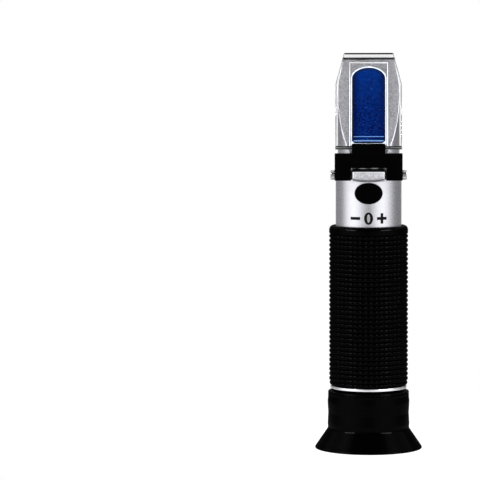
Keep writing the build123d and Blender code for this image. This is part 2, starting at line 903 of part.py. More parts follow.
def screw_row(fit):
    """The plate's countersunk screws, pointing out of the slope, grown by a fit."""
    with BuildPart() as row:
        with Locations(*[slope.offset(plate_lift) * Location((x, y, 0)) for x, y in screws_at]):
            Cone(
                plate_screw_head_d / 2 + fit,
                plate_screw_d / 2 + fit,
                plate_screw_head,
                align=(Align.CENTER, Align.CENTER, Align.MIN),
            )
            Cylinder(
                plate_screw_d / 2 + fit,
                plate_height + plate_screw_bite + fit,
                align=(Align.CENTER, Align.CENTER, Align.MIN),
            )
    return row.part


with BuildPart() as daylight_plate:
    with BuildSketch(slope.offset(plate_lift)) as plate_outline:
        with BuildLine():
            Polyline(
                (plate_width / 2, plate_start),
                (plate_width / 2, plate_end - plate_taper_length),
                (plate_tip_width / 2, plate_end),
                (-plate_tip_width / 2, plate_end),
                (-plate_width / 2, plate_end - plate_taper_length),
                (-plate_width / 2, plate_start),
                close=True,
            )
        make_face()
    extrude(amount=plate_height)
    chamfer(daylight_plate.faces().sort_by(Axis(slope.origin, slope.z_dir))[-1].edges(), plate_bevel)
    with BuildSketch(slope.offset(plate_lift)) as tongue_outline:
        with Locations((0, plate_start + tab_overlap)):
            Rectangle(tongue_width, tongue_length + tab_overlap, align=(Align.CENTER, Align.MAX))
    extrude(amount=plate_height)
    with BuildSketch(slope.offset(pad_gap)) as pad_outline:
        with Locations((0, prism_start - pad_start)):
            Rectangle(
                pad_width,
                plate_end - pad_end - prism_start + pad_start,
                align=(Align.CENTER, Align.MIN),
            )
    extrude(amount=pad_height)
    add(screw_row(seat_fit), mode=Mode.SUBTRACT)
daylight_plate.part.label = "daylight_plate"
export_step(daylight_plate.part, "parts/daylight_plate.step")

with BuildPart() as plate_screws:
    add(screw_row(0))
plate_screws.part.label = "plate_screws"
export_step(plate_screws.part, "parts/plate_screws.step")

# Hinge bracket: black moulding with two ears round the boss, a recess for the
# plate's tongue, and a tab in front of the plate's lower edge.
with BuildPart() as hinge_bracket:
    low = pin_height - bracket_bottom
    high = pin_height + bracket_top
    ear_back = ear_round - pin_reach
    with BuildSketch(Plane.YZ) as bracket_side:
        with BuildLine():
            Polyline((-bracket_front, high - bracket_bevel), (-bracket_front, low), (-pin_reach, low))
            RadiusArc((-pin_reach, low), (ear_back, pin_height), -ear_round)
            Polyline(
                (ear_back, pin_height),
                (ear_back, slope_height(ear_back, bracket_gap)),
                (slope_y(high, bracket_gap), high),
                (bracket_bevel - bracket_front, high),
                (-bracket_front, high - bracket_bevel),
            )
        make_face()
    extrude(amount=bracket_width / 2, both=True)
    with BuildSketch(slope.offset(plate_face + glue_gap)) as tab_outline:
        with Locations((0, plate_start + tab_overlap)):
            Rectangle(tab_width, tongue_length, align=(Align.CENTER, Align.MAX))
    extrude(amount=tab_height)
    with BuildSketch(slope) as recess:
        with Locations((0, plate_start - tongue_length - glue_gap)):
            Rectangle(
                tongue_width + 2 * glue_gap,
                2 * tongue_length,
                align=(Align.CENTER, Align.MIN),
            )
    extrude(amount=plate_face + glue_gap, mode=Mode.SUBTRACT)
    with BuildSketch(Plane.XZ) as boss_notch:
        with Locations((0, pin_height + notch_height)):
            Rectangle(
                boss_width + 2 * notch_margin,
                bracket_front,
                align=(Align.CENTER, Align.MAX),
            )
    extrude(amount=2 * bracket_front, mode=Mode.SUBTRACT)
    ear_hole = disc(Plane.YZ, -pin_reach, pin_height, pin_d + 2 * running_fit)
    extrude(ear_hole, amount=bracket_width, both=True, mode=Mode.SUBTRACT)
    add(screw_row(seat_fit), mode=Mode.SUBTRACT)
hinge_bracket.part.label = "hinge_bracket"
export_step(hinge_bracket.part, "parts/hinge_bracket.step")
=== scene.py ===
from math import acos, cos, pi, radians, sin, tan

import bmesh
import bpy
from mathutils import Matrix, Vector


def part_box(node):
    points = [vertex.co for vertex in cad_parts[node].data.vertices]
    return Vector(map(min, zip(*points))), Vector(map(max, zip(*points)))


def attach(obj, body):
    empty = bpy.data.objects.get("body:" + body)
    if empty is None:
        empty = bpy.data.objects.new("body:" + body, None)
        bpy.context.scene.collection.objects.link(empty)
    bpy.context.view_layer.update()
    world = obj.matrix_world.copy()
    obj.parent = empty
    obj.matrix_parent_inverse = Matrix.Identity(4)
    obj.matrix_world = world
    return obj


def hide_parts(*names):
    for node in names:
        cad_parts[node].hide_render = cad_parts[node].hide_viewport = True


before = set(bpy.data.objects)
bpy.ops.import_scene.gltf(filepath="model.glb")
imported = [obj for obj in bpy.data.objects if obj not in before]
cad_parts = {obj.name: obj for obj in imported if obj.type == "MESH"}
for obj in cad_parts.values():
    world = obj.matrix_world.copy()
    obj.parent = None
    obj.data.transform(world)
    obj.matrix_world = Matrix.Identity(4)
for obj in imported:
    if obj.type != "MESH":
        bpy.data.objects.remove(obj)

scene = bpy.context.scene
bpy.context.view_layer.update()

# Main tube. Drawn aluminium tube, turned and threaded at both ends. A steel
# grub screw through its wall guides the lens cell.
MM = 0.001
TOOL_RINGS = (0.02, 0.02, 1)


def colour(code):
    """Linear colour from an sRGB hex code."""
    parts = [int(code[i : i + 2], 16) / 255 for i in (1, 3, 5)]
    return [p / 12.92 if p <= 0.04045 else ((p + 0.055) / 1.055) ** 2.4 for p in parts] + [1]


def add_node(tree, kind, inputs, **settings):
    """Adds a node with its settings. An input is a value, or the output that feeds it."""
    node = tree.nodes.new(kind)
    for key, value in settings.items():
        setattr(node, key, value)
    for key, value in inputs.items():
        if isinstance(value, bpy.types.NodeSocket):
            tree.links.new(value, node.inputs[key])
        else:
            node.inputs[key].default_value = value
    return node


def empty_material(name):
    """Material with no nodes yet, and its tree."""
    material = bpy.data.materials.new(name)
    material.use_nodes = True
    material.node_tree.nodes.clear()
    return material, material.node_tree


# Noise seldom leaves this span. A colour mix has its share at socket 0 and its
# two colours at sockets 6 and 7.
NOISE_SPAN = {"From Min": 0.3, "From Max": 0.7}


def grained(name, dark, light, grain_mm, roughness, depth_mm, stretch=(1, 1, 1), **shader):
    """Material whose shade, roughness and relief all follow one grain of a real size."""
    material, tree = empty_material(name)
    place = add_node(tree, "ShaderNodeTexCoord", {})
    scale = [share / (grain_mm * MM) for share in stretch]
    laid = add_node(tree, "ShaderNodeMapping", {"Vector": place.outputs["Object"], "Scale": scale})
    noise_inputs = {"Vector": laid.outputs["Vector"], "Scale": 1.0, "Detail": 3.0}
    grain = add_node(tree, "ShaderNodeTexNoise", noise_inputs).outputs["Fac"]
    span = {"Value": grain, **NOISE_SPAN}
    share = add_node(tree, "ShaderNodeMapRange", span).outputs["Result"]
    shade_inputs = {0: share, 6: colour(dark), 7: colour(light)}
    shade = add_node(tree, "ShaderNodeMix", shade_inputs, data_type="RGBA").outputs[2]
    span.update({"To Min": roughness[0], "To Max": roughness[1]})
    rough = add_node(tree, "ShaderNodeMapRange", span).outputs["Result"]
    relief_inputs = {"Height": grain, "Distance": depth_mm * MM}
    relief = add_node(tree, "ShaderNodeBump", relief_inputs).outputs["Normal"]
    inputs = {"Base Color": shade, "Roughness": rough, "Normal": relief}
    inputs.update({key.replace("_", " "): value for key, value in shader.items()})
    finish = add_node(tree, "ShaderNodeBsdfPrincipled", inputs)
    add_node(tree, "ShaderNodeOutputMaterial", {"Surface": finish.outputs["BSDF"]})
    return material


def dress(material, *names):
    """Gives a material to parts of the frame that keep the shape they have."""
    for name in names:
        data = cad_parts[name].data
        data.materials.clear()
        data.materials.append(material)


# Turned aluminium: a cool pale metal with fine rings left by the lathe tool.
# The rings are drawn 0.25 mm apart, coarser than real ones, so that they show.
aluminium = grained(
    "turned_aluminium", "#B2B3B7", "#CBCCCF", 0.25, (0.24, 0.38), 0.006, TOOL_RINGS, Metallic=1.0
)
dress(aluminium, "main_tube")

# Stainless steel: a greyer, harder mirror than aluminium, with finer rings.
steel = grained(
    "turned_stainless_steel", "#A3A3A6", "#C4C4C7", 0.2, (0.16, 0.3), 0.005, TOOL_RINGS, Metallic=1.0
)
dress(steel, "guide_screw")

# Reticle and baffles. The glass that carries the scale sits in a black holder,
# and thin black rings above it keep stray light off the tube's wall.
# Black anodised aluminium: a deep matt black with a slight metallic edge.
anodised = grained(
    "black_anodised_aluminium", "#08080A", "#121214", 0.3, (0.36, 0.5), 0.005, TOOL_RINGS, Metallic=0.5
)
dress(anodised, "reticle_holder", "reticle_ring", "baffle_rings")

# Coated optical glass: clear, with the faint violet bloom of its coating.
coated_glass = grained(
    "coated_optical_glass",
    "#E9EEF6",
    "#F5F5FB",
    3.0,
    (0.0, 0.02),
    0.0,
    IOR=1.52,
    Transmission_Weight=1.0,
    Coat_Weight=0.3,
    Coat_Tint=colour("#B9A8E8"),
)
dress(coated_glass, "reticle")

# Objective. Its lens sits in a black carrier that hangs from a bimetal strip,
# so that it follows the temperature, and a brass screw shifts it to calibrate.
dress(anodised, "lens_carrier", "objective_ring", "carrier_ring")
dress(coated_glass, "objective_lens")
dress(steel, "strip_screws")

# Turned brass: warm yellow, a little tarnished between its tool rings.
brass = grained(
    "turned_brass", "#A98344", "#D2AC69", 0.2, (0.2, 0.36), 0.006, TOOL_RINGS, Metallic=1.0
)
dress(brass, "calibration_screw")

# Rolled bimetal: dull and slightly brown, streaked along the way it was rolled.
bimetal = grained(
    "rolled_bimetal", "#857F75", "#A59F93", 0.3, (0.3, 0.46), 0.004, (1, 1, 0.05), Metallic=1.0
)
dress(bimetal, "bimetal_strip")

# Black rubber: nearly without colour, with a fine moulded skin that keeps a
# trace of wax. What light it returns is that wax's thin glints on raised edges.
rubber = grained(
    "black_moulded_rubber",
    "#000000",
    "#030303",
    0.5,
    (0.5, 0.7),
    0.008,
    Specular_IOR_Level=0.0,
    Coat_Weight=0.045,
    Coat_Roughness=0.13,
)
dress(rubber, "housing_o_ring")

# Front housing. One piece of light alloy, turned, bored for the objective and
# milled to a slant for the prism, with a flat-faced boss for the hinge pin. It
# is bead-blasted and plated, and screws into the top of the tube.
TUBE_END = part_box("rubber_grip")[1].z / MM
SPIGOT_R = 10.98
SPIGOT_LENGTH = 10.0
BARREL_R = 13.1
BARREL_LENGTH = 21.4
BARREL_BEVEL = 0.5
HOUSING_EDGE = 0.17
NOSE_R = 12.25
NOSE_LENGTH = 45.2
LENS_BORE_R = 9.18
LIGHT_BORE_R = 6.48
NOSE_START = TUBE_END + BARREL_LENGTH
NOSE_END = NOSE_START + NOSE_LENGTH
BORE_END = NOSE_START - 5.0
SLOPE_ANGLE = radians(22.7)
FOOT_HEIGHT = NOSE_START + 2.2
SLOPE_LENGTH = (NOSE_END - FOOT_HEIGHT) / cos(SLOPE_ANGLE)
TIP_HALF = 10.1
TIP_TAPER = 11.0
PRISM_HALF = 6.55
PRISM_START = 10.2
PRISM_ARCH = 4.66
PRISM_TIP_MARGIN = 4.5
PRISM_BACK_WALL = 3.25
PRISM_EXIT_DROP = 0.4
PRISM_SPRING = SLOPE_LENGTH - PRISM_TIP_MARGIN - PRISM_ARCH
PRISM_BACK = NOSE_R - PRISM_BACK_WALL
PRISM_EXIT = FOOT_HEIGHT + PRISM_START * cos(SLOPE_ANGLE) - PRISM_EXIT_DROP
GLUE_GAP = 0.05
SHADE_STRIP_WIDTH = 1.0
SEAM_WIDTH = 0.55
SEAM_DEPTH = 0.8
PIN_Y = -14.5
PIN_Z = NOSE_START - 0.1
PIN_R = 0.8
BOSS_FRONT = 16.5
BOSS_HALF = 6.3
BOSS_ROUND = 2.25
BOSS_DROP = 2.35
BOSS_CONE = 0.42
BOSS_UNDER = 0.8
BOSS_BEVEL = 0.42
BOSS_BLANK = BOSS_FRONT + 2.5
BOSS_TURNS = 384
BOSS_MARGIN = 0.2
PLUG_HALF_X = 5.4
PLUG_HALF_Z = 4.1
PLUG_Z = (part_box("calibration_plug")[0].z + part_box("calibration_plug")[1].z) / 2 / MM
POCKET_FLOOR = BARREL_R - 1.9
POCKET_MARGIN = 0.4
OVERRUN = 1
SKIN = 0.02
SAME_WAY = cos(radians(3))

# Planes that outlines are drawn on: the slanted face, the front and the side.
# An outline then thickens along the third direction.
ON_SLOPE = Matrix(
    (
        (1, 0, 0, 0),
        (0, sin(SLOPE_ANGLE), -cos(SLOPE_ANGLE), -NOSE_R),
        (0, cos(SLOPE_ANGLE), sin(SLOPE_ANGLE), FOOT_HEIGHT),
        (0, 0, 0, 1),
    )
)
SLOPE_NORMAL = Vector((0, -cos(SLOPE_ANGLE), sin(SLOPE_ANGLE)))
UP_SLOPE = Vector((0, sin(SLOPE_ANGLE), cos(SLOPE_ANGLE)))
from_slope = ON_SLOPE.inverted()
FROM_FRONT = Matrix(((1, 0, 0, 0), (0, 0, -1, 0), (0, 1, 0, 0), (0, 0, 0, 1)))
FROM_SIDE = Matrix(((0, 0, 1, 0), (1, 0, 0, 0), (0, 1, 0, 0), (0, 0, 0, 1)))


def evenly(start, end, steps):
    """Values spread evenly from a start to an end."""
    return [start + (end - start) * i / steps for i in range(steps + 1)]


def rounded(corners, steps=4):
    """Closed outline from (x, y, radius) corners, each turned to a curve within its half of a side."""
    half_side = 0.49
    outline = []
    for i, (x, y, radius) in enumerate(corners):
        corner = Vector((x, y))
        if radius == 0:
            outline.append(corner)
            continue
        before = Vector(corners[i - 1][:2]) - corner
        after = Vector(corners[(i + 1) % len(corners)][:2]) - corner
        reach = radius / tan(before.angle(after) / 2)
        reach = min(reach, half_side * before.length, half_side * after.length)
        start = corner + before.normalized() * reach
        end = corner + after.normalized() * reach
        for t in evenly(0, 1, steps):
            outline.append((1 - t) ** 2 * start + 2 * t * (1 - t) * corner + t**2 * end)
    return outline


def turned(outline, turns=192):
    """Mesh turned about the z axis from a closed outline of (radius, height)."""
    mesh = bmesh.new()
    sections = []
    for turn in range(turns):
        angle = 2 * pi * turn / turns
        sections.append([mesh.verts.new((r * cos(angle), r * sin(angle), z)) for r, z in outline])
    for turn, here in enumerate(sections):
        there = sections[(turn + 1) % turns]
        for i in range(len(outline)):
            j = (i + 1) % len(outline)
            if outline[i][0] > 0 or outline[j][0] > 0:
                mesh.faces.new((here[i], there[i], there[j], here[j]))
    bmesh.ops.remove_doubles(mesh, verts=mesh.verts, dist=1e-5)
    bmesh.ops.recalc_face_normals(mesh, faces=mesh.faces)
    return mesh


def bevel(mesh, edges, width, steps=1):
    """Cuts a flat along some edges of a mesh, or a round in two steps or more."""
    settings = {"offset": width, "segments": steps, "profile": 0.5, "clamp_overlap": False}
    bmesh.ops.bevel(mesh, geom=edges, affect="EDGES", **settings)


def soften(mesh, width, angle, steps=2):
    """Bevels the edges of a mesh that are sharper than an angle."""
    sharp = [e for e in mesh.edges if e.is_manifold and e.calc_face_angle() > radians(angle)]
    bevel(mesh, sharp, width, steps)


def slab(outline, low, high, place):
    """Mesh of an outline on one of the planes, between two levels."""
    mesh = bmesh.new()
    bottom = [mesh.verts.new((x, y, low)) for x, y in outline]
    top = [mesh.verts.new((x, y, high)) for x, y in outline]
    mesh.faces.new(bottom[::-1])
    mesh.faces.new(top)
    for i in range(len(outline)):
        j = (i + 1) % len(outline)
        mesh.faces.new((bottom[i], bottom[j], top[j], top[i]))
    bmesh.ops.recalc_face_normals(mesh, faces=mesh.faces)
    mesh.transform(place)
    return mesh


def rectangle(half_width, low, high):
    """Corners of an upright rectangle about the middle line."""
    return [(-half_width, low), (half_width, low), (half_width, high), (-half_width, high)]


def oval(half_x, half_y, x, y, points=96):
    """Points of an ellipse."""
    turn = 2 * pi / points
    return [(x + half_x * cos(i * turn), y + half_y * sin(i * turn)) for i in range(points)]


def to_object(mesh, name):
    """Object that holds a mesh. The mesh is used up."""
    data = bpy.data.meshes.new(name)
    mesh.to_mesh(data)
    mesh.free()
    thing = bpy.data.objects.new(name, data)
    scene.collection.objects.link(thing)
    return thing


def machined(blank, *cuts):
    """Mesh of a blank with others joined to it or cut from it. A cut is (operation, mesh).

    Corners that nearly meet are welded, and a sliver that a cut leaves open is closed.
    Blender removes an object together with its mesh.
    """
    weld, sliver = 0.01, 0.001
    work = to_object(blank, "blank")
    for operation, mesh in cuts:
        tool = to_object(mesh, "tool")
        cut = work.modifiers.new("cut", "BOOLEAN")
        cut.operation = operation
        cut.object = tool
        cut.solver = "EXACT"
        graph = bpy.context.evaluated_depsgraph_get()
        result = bpy.data.meshes.new_from_object(work.evaluated_get(graph))
        work.modifiers.clear()
        spent = work.data
        work.data = result
        bpy.data.meshes.remove(spent)
        bpy.data.meshes.remove(tool.data)
    mesh = bmesh.new()
    mesh.from_mesh(work.data)
    bpy.data.meshes.remove(work.data)
    bmesh.ops.remove_doubles(mesh, verts=mesh.verts, dist=weld)
    bmesh.ops.dissolve_degenerate(mesh, edges=mesh.edges, dist=sliver)
    bmesh.ops.holes_fill(mesh, edges=[e for e in mesh.edges if e.is_boundary])
    return mesh


def finish_piece(mesh, name, body, material, node=None, sharp=38):
    """Object for a mesh in millimetres: smooth shaded, dressed, and riding on a body."""
    bmesh.ops.scale(mesh, vec=(MM, MM, MM), verts=mesh.verts)
    piece = to_object(mesh, name)
    piece.data.shade_smooth()
    piece.data.set_sharp_from_angle(angle=radians(sharp))
    piece.data.materials.append(material)
    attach(piece, body)
    if node:
        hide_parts(node)
    return piece


def true_rounds(piece):
    """Gives turned faces the normals of a true round, so that cuts don't show in the gloss."""
    data = piece.data
    turned_face = cos(radians(2))
    normals = [Vector(corner.vector) for corner in data.corner_normals]
    for face in data.polygons:
        for i in face.loop_indices:
            x, y, _ = data.vertices[data.loops[i].vertex_index].co
            outward = Vector((x, y, 0)).normalized()
            if face.normal.dot(outward) > turned_face:
                normals[i] = outward
    data.normals_split_custom_set(normals)


# Satin nickel on bead-blasted alloy: a pale metal, barely blue, whose fine
# even grain turns each highlight into a broad soft band. The grain is drawn
# 0.35 mm wide, coarser than the real one, so that it shows.
nickel = grained(
    "satin_nickel_on_blasted_alloy", "#CDCDD4", "#DCDCE1", 0.35, (0.25, 0.33), 0.004, Metallic=1.0
)

# The milled and blasted face under the plate: flat mid-grey, as its coarser
# grain scatters the light instead of mirroring it.
milled_face = grained(
    "blasted_milled_face", "#575759", "#828284", 0.7, (0.5, 0.62), 0.02, Metallic=0.45
)

# The arris at the top of that face, and the round over the pin on the boss, get a dull dark alloy colour
# painted there as shade.
painted_shade_alloy = grained(
    "painted_shade_dark_alloy", "#101010", "#262625", 0.4, (0.5, 0.65), 0.01, Specular_IOR_Level=0.1
)

# The flat front of the boss is blasted too, and plated: pale, with an even grain.
blasted_flat = grained(
    "blasted_plated_flat", "#A8A8AF", "#D6D6DC", 0.6, (0.5, 0.6), 0.02, Metallic=0.4
)

# Painted highlight: the bevel round that flat gets a nearly white alloy colour for the light its edges
# catch.
painted_highlight_alloy = grained("painted_highlight_pale_alloy", "#F4F4F6", "#FFFFFF", 0.4, (0.4, 0.5), 0.004, Metallic=0.3)


def prism_outline(margin):
    """Outline of the prism on the slanted face, grown by a margin."""
    half, rise = PRISM_HALF + margin, PRISM_ARCH + margin
    arch = [(half * cos(t), PRISM_SPRING + rise * sin(t)) for t in evenly(0, pi, steps=40)]
    return [(-half, PRISM_START - margin), (half, PRISM_START - margin)] + arch


def prism_wedge(margin):
    """Wedge under the slanted face, with an upright back and a level exit face."""
    wedge = slab(prism_outline(margin), -2 * NOSE_R, 0, ON_SLOPE)
    exit_face = (0, 0, PRISM_EXIT - margin), (0, 0, -1)
    back_face = (0, PRISM_BACK + margin, 0), (0, 1, 0)
    for point, normal in (exit_face, back_face):
        every = wedge.verts[:] + wedge.edges[:] + wedge.faces[:]
        cut = bmesh.ops.bisect_plane(wedge, geom=every, plane_co=point, plane_no=normal, clear_outer=True)
        rim = [e for e in cut["geom_cut"] if isinstance(e, bmesh.types.BMEdge)]
        bmesh.ops.holes_fill(wedge, edges=rim)
    bmesh.ops.recalc_face_normals(wedge, faces=wedge.faces)
    return wedge


def score(mesh, facing, place, across):
    """Divides the faces that look one way along a line, at a place (x, y, level) on the slope."""
    faces = [face for face in mesh.faces if face.normal.dot(facing) > SAME_WAY]
    edges = dict.fromkeys(edge for face in faces for edge in face.edges)
    verts = dict.fromkeys(vert for face in faces for vert in face.verts)
    geom = [*faces, *edges, *verts]
    bmesh.ops.bisect_plane(mesh, geom=geom, plane_co=ON_SLOPE @ Vector(place), plane_no=across)


# The boss is turned with a cone under it, milled flat in front and round over
# the pin, and bevelled along the flat. The cone bows the flat's lower edge.
boss_low = PIN_Z - BOSS_DROP
boss_high = PIN_Z + BOSS_ROUND
boss_under = boss_low - BOSS_CONE * BOSS_UNDER
boss_profile = [
    (LIGHT_BORE_R, boss_under),
    (BOSS_FRONT - BOSS_UNDER, boss_under),
    (BOSS_BLANK, boss_low + BOSS_CONE * (BOSS_BLANK - BOSS_FRONT)),
    (BOSS_BLANK, boss_high),
    (LIGHT_BORE_R, boss_high),
]
boss_side = [
    (-BOSS_FRONT, boss_low - OVERRUN),
    (OVERRUN - NOSE_R, boss_low - OVERRUN),
    (OVERRUN - NOSE_R, boss_high),
]
flat_top = acos((BOSS_FRONT + PIN_Y) / BOSS_ROUND)
for turn in evenly(pi / 2, flat_top, steps=10):
    boss_side.append((PIN_Y - BOSS_ROUND * cos(turn), PIN_Z + BOSS_ROUND * sin(turn)))
boss_cut = ("INTERSECT", slab(boss_side, -BOSS_HALF, BOSS_HALF, FROM_SIDE))
boss = machined(turned(boss_profile, BOSS_TURNS), boss_cut)
in_front = [e for e in boss.edges if max(v.co.y for v in e.verts) < SKIN - BOSS_FRONT]
bevel(boss, [e for e in in_front if e.calc_face_angle() > radians(60)], BOSS_BEVEL)

# The barrel and nose are turned. One ring of their mesh lies just under the
# pocket and one just under the boss, so that neither cut reaches past it.
tip_cut = [
    (TIP_HALF, NOSE_END + OVERRUN),
    (TIP_HALF, NOSE_END),
    (NOSE_R, NOSE_END - TIP_TAPER),
    (2 * NOSE_R, NOSE_END - TIP_TAPER),
    (2 * NOSE_R, NOSE_END + OVERRUN),
]
other_tip_cut = [(-x, z) for x, z in tip_cut[::-1]]
pocket = oval(PLUG_HALF_X + GLUE_GAP, PLUG_HALF_Z + GLUE_GAP, 0, PLUG_Z)
housing_profile = [
    (LENS_BORE_R, TUBE_END - SPIGOT_LENGTH, 0.2),
    (SPIGOT_R, TUBE_END - SPIGOT_LENGTH, 0.4),
    (SPIGOT_R, TUBE_END, 0),
    (BARREL_R - BARREL_BEVEL, TUBE_END, 0.1),
    (BARREL_R, TUBE_END + BARREL_BEVEL, 0.1),
    (BARREL_R, PLUG_Z - PLUG_HALF_Z - POCKET_MARGIN, 0),
    (BARREL_R, boss_under - BOSS_MARGIN, 0),
    (BARREL_R, NOSE_START - BARREL_BEVEL, 0.1),
    (BARREL_R - BARREL_BEVEL, NOSE_START, 0.1),
    (NOSE_R, NOSE_START, 0.15),
    (NOSE_R, NOSE_END, 0.3),
    (0, NOSE_END, 0),
    (0, PRISM_EXIT, 0),
    (LIGHT_BORE_R, PRISM_EXIT, 0),
    (LIGHT_BORE_R, BORE_END, 0.2),
    (LENS_BORE_R, BORE_END, 0),
]
housing = machined(
    turned(rounded(housing_profile)),
    ("DIFFERENCE", slab(rectangle(2 * NOSE_R, 0, 2 * SLOPE_LENGTH), 0, 2 * BARREL_R, ON_SLOPE)),
    ("DIFFERENCE", slab(tip_cut, -2 * NOSE_R, 2 * NOSE_R, FROM_FRONT)),
    ("DIFFERENCE", slab(other_tip_cut, -2 * NOSE_R, 2 * NOSE_R, FROM_FRONT)),
    ("DIFFERENCE", slab(pocket, POCKET_FLOOR, 2 * BARREL_R, FROM_FRONT)),
)
soften(housing, HOUSING_EDGE, 30)
pin_hole = oval(PIN_R + SKIN, PIN_R + SKIN, PIN_Y, PIN_Z, 32)
housing = machined(
    housing,
    ("DIFFERENCE", prism_wedge(GLUE_GAP)),
    ("DIFFERENCE", slab(prism_outline(SEAM_WIDTH), -SEAM_DEPTH, OVERRUN, ON_SLOPE)),
    ("UNION", boss),
    ("DIFFERENCE", slab(pin_hole, -2 * BOSS_HALF, 2 * BOSS_HALF, FROM_SIDE)),
)
score(housing, SLOPE_NORMAL, (0, SLOPE_LENGTH - SHADE_STRIP_WIDTH, 0), UP_SLOPE)
housing = finish_piece(
    housing, "front_housing_shell", "housing_body", nickel, "front_housing"
)
true_rounds(housing)

# Finishes of the single faces. On the boss the flat is blasted, its bevel takes a painted highlight, the
# bevel's lower side takes the milled grey as painted shade, and the round over the pin and the slope's
# top strip take a dark painted shade.
MILLED, PAINTED_SHADE, BLASTED, PAINTED_HIGHLIGHT = range(1, 5)
LOOKS_DOWN = -0.3
LOOKS_UP = 0.55
for finish in (milled_face, painted_shade_alloy, blasted_flat, painted_highlight_alloy):
    housing.data.materials.append(finish)
for face in housing.data.polygons:
    place = face.center / MM
    if face.normal.dot(SLOPE_NORMAL) > SAME_WAY:
        # The strip at the top of the slope is given the painted shade.
        at_top = (from_slope @ place).y > SLOPE_LENGTH - SHADE_STRIP_WIDTH
        face.material_index = PAINTED_SHADE if at_top else MILLED
    elif place.y < SKIN - BOSS_FRONT:
        face.material_index = BLASTED
    # On the boss's bevel, faces that look down take the milled grey as painted shade, and the rest take
    # the painted highlight.
    elif place.y < BOSS_BEVEL - BOSS_FRONT and face.normal.z < LOOKS_UP:
        face.material_index = MILLED if face.normal.z < LOOKS_DOWN else PAINTED_HIGHLIGHT
    # The round over the pin is given the painted shade, where the bracket above darkens it.
    elif place.y < PIN_Y and face.normal.z > LOOKS_UP:
        face.material_index = PAINTED_SHADE

# Marks on the barrel. Two signs and a nought, pad-printed in black enamel, show
# which way the screw under the plug turns the scale.
MARK_Z = 92.6
MARK_HEIGHT = 4.9
MARK_STROKE = 1.15
MARK_SPACING = 5.4
SIGN_SHARE = 0.42
NOUGHT_SHARE = 0.36
THIN_STROKE = 0.7

# Pad-printing enamel: a thin even black with a slight gloss.
enamel = grained(
    "black_pad_printing_enamel", "#020203", "#060607", 0.3, (0.3, 0.45), 0.002, Specular_IOR_Level=0.1
)


def barrel_print(strips):
    """Thin print on the barrel. Each strip is a row of (lower, upper) points of (x, z).

    A strip that ends where it starts is a closed ring, and has no end faces.
    """
    mesh = bmesh.new()
    for strip in strips:
        rows = []
        for edges in strip:
            row = []
            for radius in (BARREL_R - SKIN, BARREL_R + SKIN):
                for x, z in edges:
                    angle = x / BARREL_R
                    row.append(mesh.verts.new((radius * sin(angle), -radius * cos(angle), z)))
            rows.append(row)
        for here, there in zip(rows, rows[1:]):
            for i, j in ((0, 1), (1, 3), (3, 2), (2, 0)):
                mesh.faces.new((here[i], here[j], there[j], there[i]))
        ends = () if strip[0] == strip[-1] else (rows[0], rows[-1])
        for row in ends:
            mesh.faces.new((row[0], row[1], row[3], row[2]))
    bmesh.ops.remove_doubles(mesh, verts=mesh.verts, dist=1e-4)
    bmesh.ops.recalc_face_normals(mesh, faces=mesh.faces)
    return mesh


def bar(x, z, half_length, half_height, steps=10):
    """Strip for a level bar, in short steps so that it bends round the barrel."""
    places = evenly(x - half_length, x + half_length, steps)
    return [((place, z - half_height), (place, z + half_height)) for place in places]


sign_half = SIGN_SHARE * MARK_HEIGHT
half_stroke = MARK_STROKE / 2
arm_half = (sign_half - half_stroke) / 2
arm_offset = half_stroke + arm_half
nought_half = NOUGHT_SHARE * MARK_HEIGHT
nought = []
for turn in evenly(0, 2 * pi, steps=48)[:-1]:
    outer = (nought_half * sin(turn), MARK_Z + MARK_HEIGHT / 2 * cos(turn))
    inner_z = MARK_Z + (MARK_HEIGHT / 2 - THIN_STROKE * MARK_STROKE) * cos(turn)
    nought.append((((nought_half - MARK_STROKE) * sin(turn), inner_z), outer))
nought.append(nought[0])
marks = [
    bar(-MARK_SPACING, MARK_Z, sign_half, half_stroke),
    bar(MARK_SPACING, MARK_Z, sign_half, half_stroke),
    bar(MARK_SPACING, MARK_Z + arm_offset, half_stroke, arm_half, 3),
    bar(MARK_SPACING, MARK_Z - arm_offset, half_stroke, arm_half, 3),
    nought,
]
finish_piece(barrel_print(marks), "barrel_marks", "housing_body", enamel)

# Prism. A wedge of blue glass, polished on the slanted face that takes the
# drop of coolant, ground and blackened elsewhere, and cemented in the housing.
PRISM_EDGE = 0.65
HIGHLIGHT_LINES = ((11.0, 0.5), (12.85, 0.3))
CORNER_GLINT = 1.0
FACE_DEPTH = 0.4
SPECK_SIZE = 0.8
TOP_LIGHT_LOW = 133
TOP_LIGHT_HIGH = 152
TOP_LIGHT_SHARE = 0.4
SIDE_SHADE_START = 0.55 * PRISM_HALF

# Cobalt glass: a deep blue with small specks where the drops have dried. Painted light makes it a little
# brighter toward the top, and painted shade darkens it toward its sides, where it meets the blackened
# faces.
cobalt, tree = empty_material("polished_cobalt_glass")
place = add_node(tree, "ShaderNodeTexCoord", {})
speck_inputs = {"Vector": place.outputs["Object"], "Scale": 1 / (SPECK_SIZE * MM), "Detail": 3.0}
specks = add_node(tree, "ShaderNodeTexNoise", speck_inputs).outputs["Fac"]
speck_span = {"Value": specks, "From Min": 0.36, "From Max": 0.66}
share = add_node(tree, "ShaderNodeMapRange", speck_span).outputs["Result"]
depth_inputs = {0: share, 6: colour("#000632"), 7: colour("#00205F")}
blue = add_node(tree, "ShaderNodeMix", depth_inputs, data_type="RGBA").outputs[2]
axes = add_node(tree, "ShaderNodeSeparateXYZ", {"Vector": place.outputs["Object"]})
